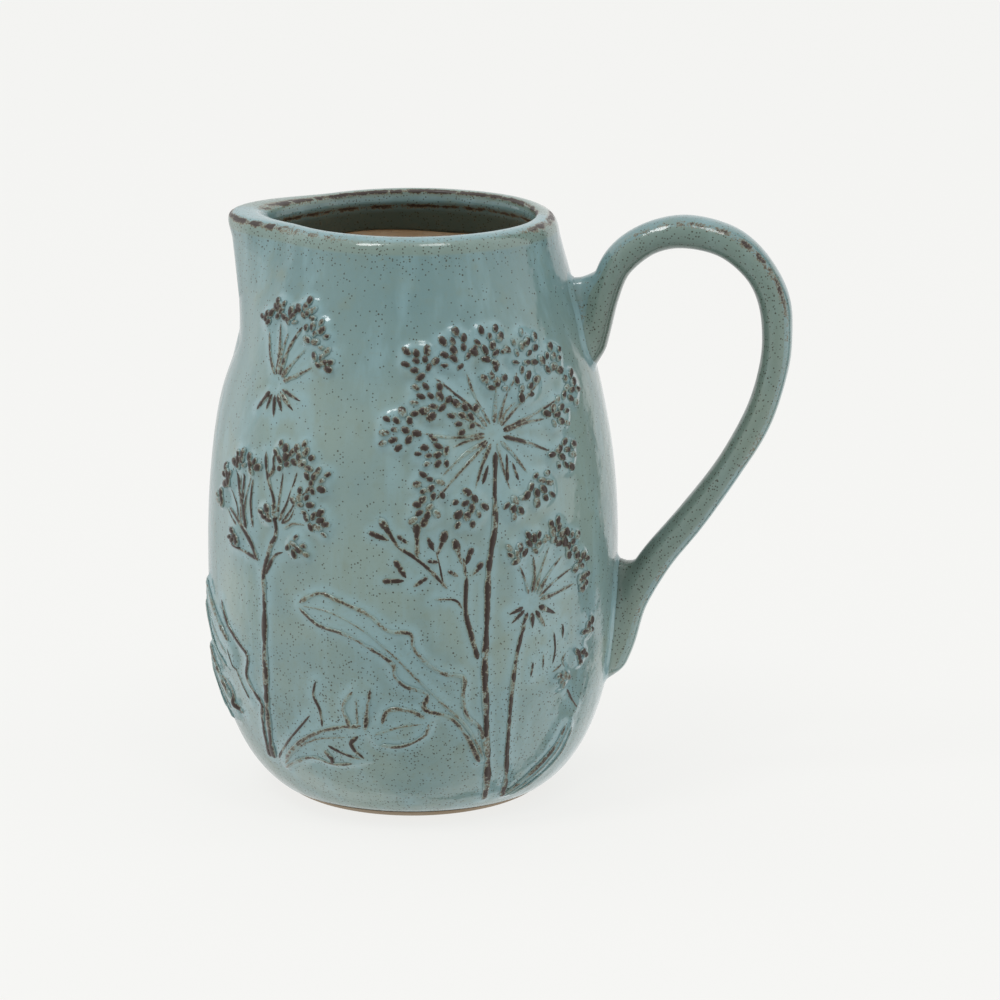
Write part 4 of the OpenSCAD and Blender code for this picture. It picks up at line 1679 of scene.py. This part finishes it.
    def _line_nodes(self, tree: Tree, given: Any, read: dict[str, Socket]) -> Socket:
        """Nodes that sweep a low rounded ridge along each line.

        Args:
            tree: The Geometry Nodes tree.
            given: The group's input sockets.
            read: The named attributes.

        Returns:
            The ridges' geometry.
        """
        curve = add_node(tree, "GeometryNodeMeshToCurve", {0: given["Geometry"]})
        curve = add_node(tree, "GeometryNodeSetCurveNormal",
                         {"Curve": curve, "Normal": read["out"]}, mode="FREE")
        circle = add_node(tree, "GeometryNodeCurvePrimitiveCircle", {
            "Resolution": self.line_sides, "Radius": 1.0})
        spot = add_node(tree, AXES, {0: add_node(tree, "GeometryNodeInputPosition")}).outputs
        low = self._flatten(tree, spot[0], given["Line height"], given["Sink"])
        moved = add_node(tree, "ShaderNodeCombineXYZ", {0: low, 1: spot[1]})
        marked = add_node(tree, "GeometryNodeStoreNamedAttribute", {
            "Geometry": circle, "Name": "crest", "Value": spot[0]}, domain="POINT")
        shaped = add_node(tree, "GeometryNodeSetPosition", {0: marked, "Position": moved})
        swept = add_node(tree, "GeometryNodeCurveToMesh", {
            "Curve": curve, "Profile Curve": shaped, "Scale": read["thickness"],
            "Fill Caps": True})
        worn = add_node(tree, MATH, {0: read["crest"], 1: read["wear"]}, operation="MULTIPLY")
        return add_node(tree, "GeometryNodeStoreNamedAttribute", {
            "Geometry": swept, "Name": "break", "Value": worn}, domain="POINT").outputs[0]

    def _seed_nodes(self, tree: Tree, given: Any, read: dict[str, Socket]) -> Socket:
        """Nodes that set a domed seed on each point.

        Args:
            tree: The Geometry Nodes tree.
            given: The group's input sockets.
            read: The named attributes.

        Returns:
            The seeds' geometry.
        """
        points = add_node(tree, "GeometryNodeObjectInfo", {"Object": given["Seeds"]})
        ball = add_node(tree, "GeometryNodeMeshUVSphere", {
            "Segments": self.seed_sides, "Rings": self.seed_rings, "Radius": 1.0})
        spot = add_node(tree, AXES, {0: add_node(tree, "GeometryNodeInputPosition")}).outputs
        low = self._flatten(tree, spot[2], 1.0, given["Sink"])
        moved = add_node(tree, "ShaderNodeCombineXYZ", {0: spot[0], 1: spot[1], 2: low})
        marked = add_node(tree, "GeometryNodeStoreNamedAttribute", {
            "Geometry": ball, "Name": "break", "Value": spot[2]}, domain="POINT")
        dome = add_node(tree, "GeometryNodeSetPosition", {0: marked, "Position": moved})
        turn = add_node(tree, "FunctionNodeAxesToRotation", {0: read["out"], 1: read["along"]},
                        primary_axis="Z", secondary_axis="Y")
        half = [add_node(tree, MATH, {0: read[name], 1: 0.5}, operation="MULTIPLY")
                for name in ("seed_width", "seed_length")]
        scale = add_node(tree, "ShaderNodeCombineXYZ",
                         {0: half[0], 1: half[1], 2: given["Seed height"]})
        return add_node(tree, "GeometryNodeInstanceOnPoints", {
            "Points": points.outputs["Geometry"], "Instance": dome, "Rotation": turn,
            "Scale": scale}).outputs[0]


# ---- Handle ------------------------------------------------------------------------------


@dataclass
class Handle:
    """The pulled strap handle and the luting clay that joins it to the pot."""

    pot: PotShape
    relief: Relief
    strap_w_top: float = 16.5
    strap_w_low: float = 13.5
    strap_t: float = 11
    reach: float = 53.8
    top_drop: float = 3.6
    foot_z: float = 42
    tip_drop: float = 48
    tip_round: float = 7
    section: tuple[Place, ...] = ((1.0, 0.36), (0.74, 0.74), (0.1, 1.02), (-0.6, 0.88),
                                  (-1.0, 0.38))
    thickness: tuple[Place, ...] = ((0, 0.95), (0.3, 1.0), (0.45, 0.96), (0.6, 0.91), (0.7, 0.87),
                                    (0.8, 0.97), (0.9, 1.1), (1, 1.1))
    web_above: Place = (4.2, 10.0)
    web_below: Place = (3.0, 6.4)
    web_sink: float = 1.5
    ridge: tuple[float, float, float] = (0.68, 0.72, 0.07)
    heel: tuple[float, float, float] = (0.05, 0.96, 0.03)
    worn_turn: Place = (0.4, 0.09)
    # Where the outer face begins that is painted paler, as painted light.
    painted_light_side: float = 0.6
    web_narrow: float = 0.34
    fillet: float = 5.5
    stations: int = 280
    patch_half: float = 17
    patch_step: float = 0.55
    patch_sink: float = 0.12
    patch_depth: float = 0.45

    def build(self, glaze: Material) -> None:
        """Builds and dresses the strap and both joints."""
        points, ring, faces = self._bar()
        tree = bvhtree.BVHTree.FromPolygons(points.reshape(-1, 3).tolist(), faces)
        dress(self._strap(points, ring, faces), glaze, ["handle"])
        tip_z = self.pot.height - self.tip_drop
        for end, z, tall in (("upper", tip_z, 38), ("lower", self.foot_z, 50)):
            joint = self._joint(f"handle_{end}_luting", z - 12, z + tall, tree)
            dress(joint, glaze, [f"handle_{end}_joint"])

    def _line(self) -> list[tuple[float, float]]:
        """Centre line of the strap as X and Z, from its upper tip to its lower one."""
        pot = self.pot
        out, top = pot.belly_r + self.reach, pot.height - self.top_drop
        tip, low = pot.height - self.tip_drop, self.foot_z

        def r(z: float) -> float:
            """Radius of the pot at a height."""
            return float(pot.outer(np.array(z)))

        return [
            (r(tip) - 2.2, tip - 0.5), (r(tip + 10) + 3.4, tip + 10),
            (r(tip + 22) + 10, tip + 22),
            (pot.rim_r + 21.2, top - 11), (pot.rim_r + 31, top - 3), (pot.rim_r + 43.5, top),
            (out - 17.5, top - 3), (out - 7.5, top - 11), (out - 1.5, top - 22),
            (out, top - 34.5), (out - 1.2, top - 47), (out - 6.2, top - 63.5),
            (out - 15.6, top - 80.5), (pot.belly_r + 26.1, low + 56.5),
            (pot.belly_r + 13.6, low + 40.5), (pot.belly_r + 5.2, low + 26),
            (pot.belly_r + 0.6, low + 12), (r(low) - 1.5, low - 0.5)]

    def _ring(self) -> np.ndarray:
        """The strap's section all round: a soft bar whose flanks have a ridge each side."""
        corners = np.array(self.section)
        ring = np.vstack([corners, corners[::-1] * (1, -1)])
        for _ in range(3):
            after = np.roll(ring, -1, axis=0)
            ring = np.stack([ring * 0.75 + after * 0.25, ring * 0.25 + after * 0.75], axis=1)
            ring = ring.reshape(-1, 2)
        return ring

    def _bar(self) -> tuple[np.ndarray, np.ndarray, list[list[int]]]:
        """The strap before its ends are smoothed into the wall.

        Returns:
            The points by station and side, the section, and the faces with their end caps.
        """
        pot, ring = self.pot, self._ring()
        t = np.linspace(0, 1, self.stations)
        line = self._line()
        centre = catmull_rom(line, t)
        ahead, behind = np.minimum(t + 0.01, 1), np.maximum(t - 0.01, 0)
        along = catmull_rom(line, ahead) - catmull_rom(line, behind)
        along /= np.linalg.norm(along, axis=1, keepdims=True)
        side = np.stack([-along[:, 1], along[:, 0]], axis=1)
        ends = np.minimum(np.linalg.norm(centre - centre[0], axis=1),
                          np.linalg.norm(centre - centre[-1], axis=1))
        share = np.sqrt(1 - (1 - np.clip(ends, 0.15, self.tip_round) / self.tip_round) ** 2)
        bulk = np.interp(t, *np.array(self.thickness).T)
        uneven = 1 + 0.018 * np.sin(t * 41) + 0.012 * np.sin(t * 67 + 1)
        half_t = self.strap_t / 2 * bulk * share * uneven
        half_w = (self.strap_w_top + (self.strap_w_low - self.strap_w_top) * t) / 2 * share
        toward = np.where(t < 0.5, 1.0, -1.0)
        facing = centre + side * (half_t * toward)[:, None]
        gap = np.maximum(facing[:, 0] - pot.outer(facing[:, 1]), 0)
        web = (gap + self.web_sink) * (1 - np.where(t < 0.5, smooth_step(*self.web_above, gap),
                                                    smooth_step(*self.web_below, gap)))
        u, v = ring[:, 0][None, :], ring[:, 1][None, :]
        inward = smooth_step(0.35, 0.95, u * toward[:, None])
        flat = half_t[:, None] * u + (web * toward)[:, None] * inward
        joined = np.minimum(web[:, None] / 3, 1) * inward
        wide = half_w[:, None] * v * (1 - self.web_narrow * joined)
        x = centre[:, :1] + side[:, :1] * flat
        z = centre[:, 1:] + side[:, 1:] * flat
        points = np.stack([x, wide, z], axis=-1)
        n, m = len(ring), self.stations
        faces = grid_faces(m, n, False)[:, ::-1].tolist()
        faces.append(list(range(n)))
        faces.append([(m - 1) * n + k for k in range(n - 1, -1, -1)])
        return points, ring, faces

    def _strap(self, points: np.ndarray, ring: np.ndarray, faces: list[list[int]]) -> Piece:
        """The strap with its ends swollen where they meet the wall.

        Args:
            points: The bar's points by station and side.
            ring: The section.
            faces: The bar's faces.

        Returns:
            The finished strap.
        """
        pot = self.pot
        across = np.roll(points, -1, axis=1) - np.roll(points, 1, axis=1)
        up = np.gradient(points, axis=0)
        out = np.cross(up, across)
        out /= np.maximum(np.linalg.norm(out, axis=-1, keepdims=True), 1e-9)
        swell = np.zeros(points.shape[:2])
        for _ in range(4):
            moved = points + out * swell[..., None]
            z = moved[..., 2]
            off = (np.hypot(moved[..., 0], moved[..., 1]) - pot.outer(z)) / pot.slant(z)
            swell = 0.5 * swell + 0.5 * self._blend(off)
        moved = points + out * swell[..., None]
        u, v = ring[:, 0][None, :], ring[:, 1][None, :]
        t = np.linspace(0, 1, self.stations)[:, None]
        ridge, heel = (np.exp(-((u - u0) ** 2 + (np.abs(v) - v0) ** 2) / spread)
                       for u0, v0, spread in (self.ridge, self.heel))
        rub = 0.5 + 0.3 * np.sin(t * 31) + 0.2 * np.sin(t * 83 + 2)
        turn = bell(t, *self.worn_turn)
        breaks = ridge * (0.2 + 0.24 * rub + 0.5 * turn) + heel * 0.2 * rub
        near = np.clip(swell / (self.fillet / 4), 0, 1)
        # Glaze pooled near the wall; the outer face is painted light, paler and with fewer specks.
        pool = np.maximum(near * 0.8, 0.25 * (u > self.painted_light_side) + 0 * t)
        speckle = np.where(u > self.painted_light_side, 0.55, 0.95) + 0 * t
        return new_mesh("handle_strap", moved.reshape(-1, 3), faces, {
            "break": breaks, "speckle": speckle, "pool": pool,
            # Painted shade on the handle's inner face, darker towards its inner edge.
            "deep": 0.06 + 0.42 * smooth_step(0.3, 0.65, -u) + 0 * t})

    def _blend(self, off: np.ndarray) -> np.ndarray:
        """How far one surface swells where the other is off millimetres away."""
        k = self.fillet
        return (math.sqrt(k) - np.sqrt(np.clip(off, k / 4, k))) ** 2

    def _joint(self, name: str, z_low: float, z_high: float, strap: bvhtree.BVHTree) -> Piece:
        """The luting clay round one end of the strap, smoothed into the wall.

        Args:
            name: The piece's name.
            z_low: Lowest height of the patch.
            z_high: Highest height of the patch.
            strap: A search tree over the strap's surface.

        Returns:
            A closed patch that sinks under the coat where the luting ends.
        """
        pot = self.pot
        z = np.arange(z_low, z_high, self.patch_step)[:, None]
        y = np.arange(-self.patch_half, self.patch_half, self.patch_step)[None, :]
        a, z = np.degrees(y / pot.outer(z)), z + 0 * y
        coat = self.relief.swell(a, z) - self.patch_sink
        base, out = pot.raised(a, z, coat), pot.normal(a, z)
        lift, off = np.zeros(z.shape), np.zeros(z.shape)
        for _ in range(5):
            points = base + out * lift[..., None]
            off = np.array([self._distance(strap, p) for p in points.reshape(-1, 3)])
            off = off.reshape(z.shape)
            lift = 0.5 * lift + 0.5 * self._blend(off)
        edge = np.ones(z.shape, bool)
        edge[1:-1, 1:-1] = False
        top = base + out * np.where(edge, -0.2, lift)[..., None]
        under = base - out * self.patch_depth
        rows, cols = z.shape
        k = np.arange(rows * cols).reshape(rows, cols)
        quads = np.stack([k[:-1, :-1], k[:-1, 1:], k[1:, 1:], k[1:, :-1]], -1).reshape(-1, 4)
        faces = quads.tolist() + (quads[:, ::-1] + rows * cols).tolist()
        rim = np.concatenate([k[0, :-1], k[:-1, -1], k[-1, :0:-1], k[:0:-1, 0]])
        for i, j in zip(rim, np.roll(rim, -1)):
            faces.append([int(i), int(i + rows * cols), int(j + rows * cols), int(j)])
        points = np.vstack([top.reshape(-1, 3), under.reshape(-1, 3)])
        pool = bell(off, 0.4 * self.fillet, 0.5 * self.fillet)
        zero = np.zeros(z.size)
        return new_mesh(name, points, faces, {
            "pool": np.append(pool, zero), "speckle": np.append(0.3 + zero, zero)})

    def _distance(self, strap: bvhtree.BVHTree, point: np.ndarray) -> float:
        """Distance from a point to the strap, or 0 for a point inside it."""
        place, normal, _, distance = strap.find_nearest(point.tolist())
        return distance if (Vector(point) - place).dot(normal) > 0 else 0.0


# ---- Studio ------------------------------------------------------------------------------


@dataclass
class Studio:
    """A pale sweep of paper, soft lights and the camera."""

    target: tuple[float, float, float] = (0, 0, 100)
    azimuth: float = 9.0
    elevation: float = 14.5
    distance: float = 1500
    lens: float = 157.1
    aim_right: float = 29.9
    floor_half: float = 6000
    floor_gap: float = 0.1
    backdrop: str = "#f6f6f4"
    ceiling: float = 0.6
    overhead: Rise = Rise(0.7, 0.97)

    def build(self) -> None:
        """Sets up floor, lights, surroundings and camera."""
        self._floor()
        self._surroundings()
        self._lights()
        self._camera()
        view = bpy.context.scene.view_settings
        view.view_transform = "Standard"
        view.look = "None"

    def _floor(self) -> None:
        """A wide sheet of paper under the foot, which does not show in the pot's gloss."""
        half, z = self.floor_half, -self.floor_gap
        points = np.array([(-half, -half, z), (half, -half, z), (half, half, z), (-half, half, z)])
        floor = new_mesh("studio_floor", points, [[0, 1, 2, 3]])
        floor.data.materials.append(StudioPaper().build())
        floor.visible_glossy = False

    def _surroundings(self) -> None:
        """A room that is pale to the eye, and bright and dim by turns in reflections."""
        world = bpy.data.worlds.new("studio")
        bpy.context.scene.world = world
        world.use_nodes = True
        tree = world.node_tree
        tree.nodes.clear()
        where = add_node(tree, "ShaderNodeTexCoord").outputs["Generated"]
        height = add_node(tree, AXES, {0: where}).outputs[2]
        level = add_node(tree, "ShaderNodeMix", {
            0: self.overhead.of(tree, height), 6: surroundings(tree, where),
            7: (self.ceiling,) * 3 + (1,)}, data_type="RGBA").outputs[2]
        studio = add_node(tree, "ShaderNodeBackground", {"Color": level, "Strength": BRIGHTEST})
        plain = add_node(tree, "ShaderNodeBackground", {"Color": linear(self.backdrop)})
        eye = add_node(tree, "ShaderNodeLightPath").outputs["Is Camera Ray"]
        both = add_node(tree, "ShaderNodeMixShader", {0: eye, 1: studio, 2: plain})
        add_node(tree, "ShaderNodeOutputWorld", {0: both})

    def _lights(self) -> None:
        """Two soft boxes: a large one from the upper left and a smaller one from the right."""
        self._soft_box("key_soft_box", (-600, -700, 1700), 420, 7)
        self._soft_box("fill_soft_box", (450, -650, 1700), 360, 3)

    def _soft_box(self, name: str, place: tuple[float, float, float], width: float,
                  power: float) -> None:
        """A square area light that faces the pot.

        Args:
            name: The light's name.
            place: Where it stands, in millimetres.
            width: Its width in millimetres.
            power: Its power in watts.
        """
        data = bpy.data.lights.new(name, "AREA")
        data.shape = "SQUARE"
        data.size = width * MM
        data.energy = power
        light = bpy.data.objects.new(name, data)
        light.location = Vector(place) * MM
        aim = Vector(self.target) * MM - light.location
        light.rotation_euler = aim.to_track_quat("-Z", "Y").to_euler()
        bpy.context.scene.collection.objects.link(light)

    def _camera(self) -> None:
        """A long lens that looks slightly down on the front of the pot."""
        a, e = math.radians(self.azimuth), math.radians(self.elevation)
        back = Vector((math.sin(a) * math.cos(e), -math.cos(a) * math.cos(e), math.sin(e)))
        right = Vector((math.cos(a), math.sin(a), 0))
        eye = Vector(self.target) + back * self.distance
        aim = Vector(self.target) + right * self.aim_right
        data = bpy.data.cameras.new("camera")
        data.lens = self.lens
        camera = bpy.data.objects.new("camera", data)
        camera.location = eye * MM
        camera.rotation_euler = (aim - eye).to_track_quat("-Z", "Y").to_euler()
        bpy.context.scene.collection.objects.link(camera)
        bpy.context.scene.camera = camera


def main() -> None:
    """Builds the clay, the glaze, the sprigs, the handle and the studio, in that order."""
    logging.basicConfig(level=logging.INFO, format="%(name)s: %(message)s")
    glaze, clay = ReactiveGlaze().build(), BareStoneware().build()
    pot = PotShape.from_frame()
    relief = Relief(pot)
    relief.lay_out()
    ClayPot(pot).build(clay)
    GlazeCoat(pot, relief).build(glaze)
    SprigMaker(relief).build(glaze)
    Handle(pot, relief).build(glaze)
    Studio().build()


if __name__ == "__main__":
    main()
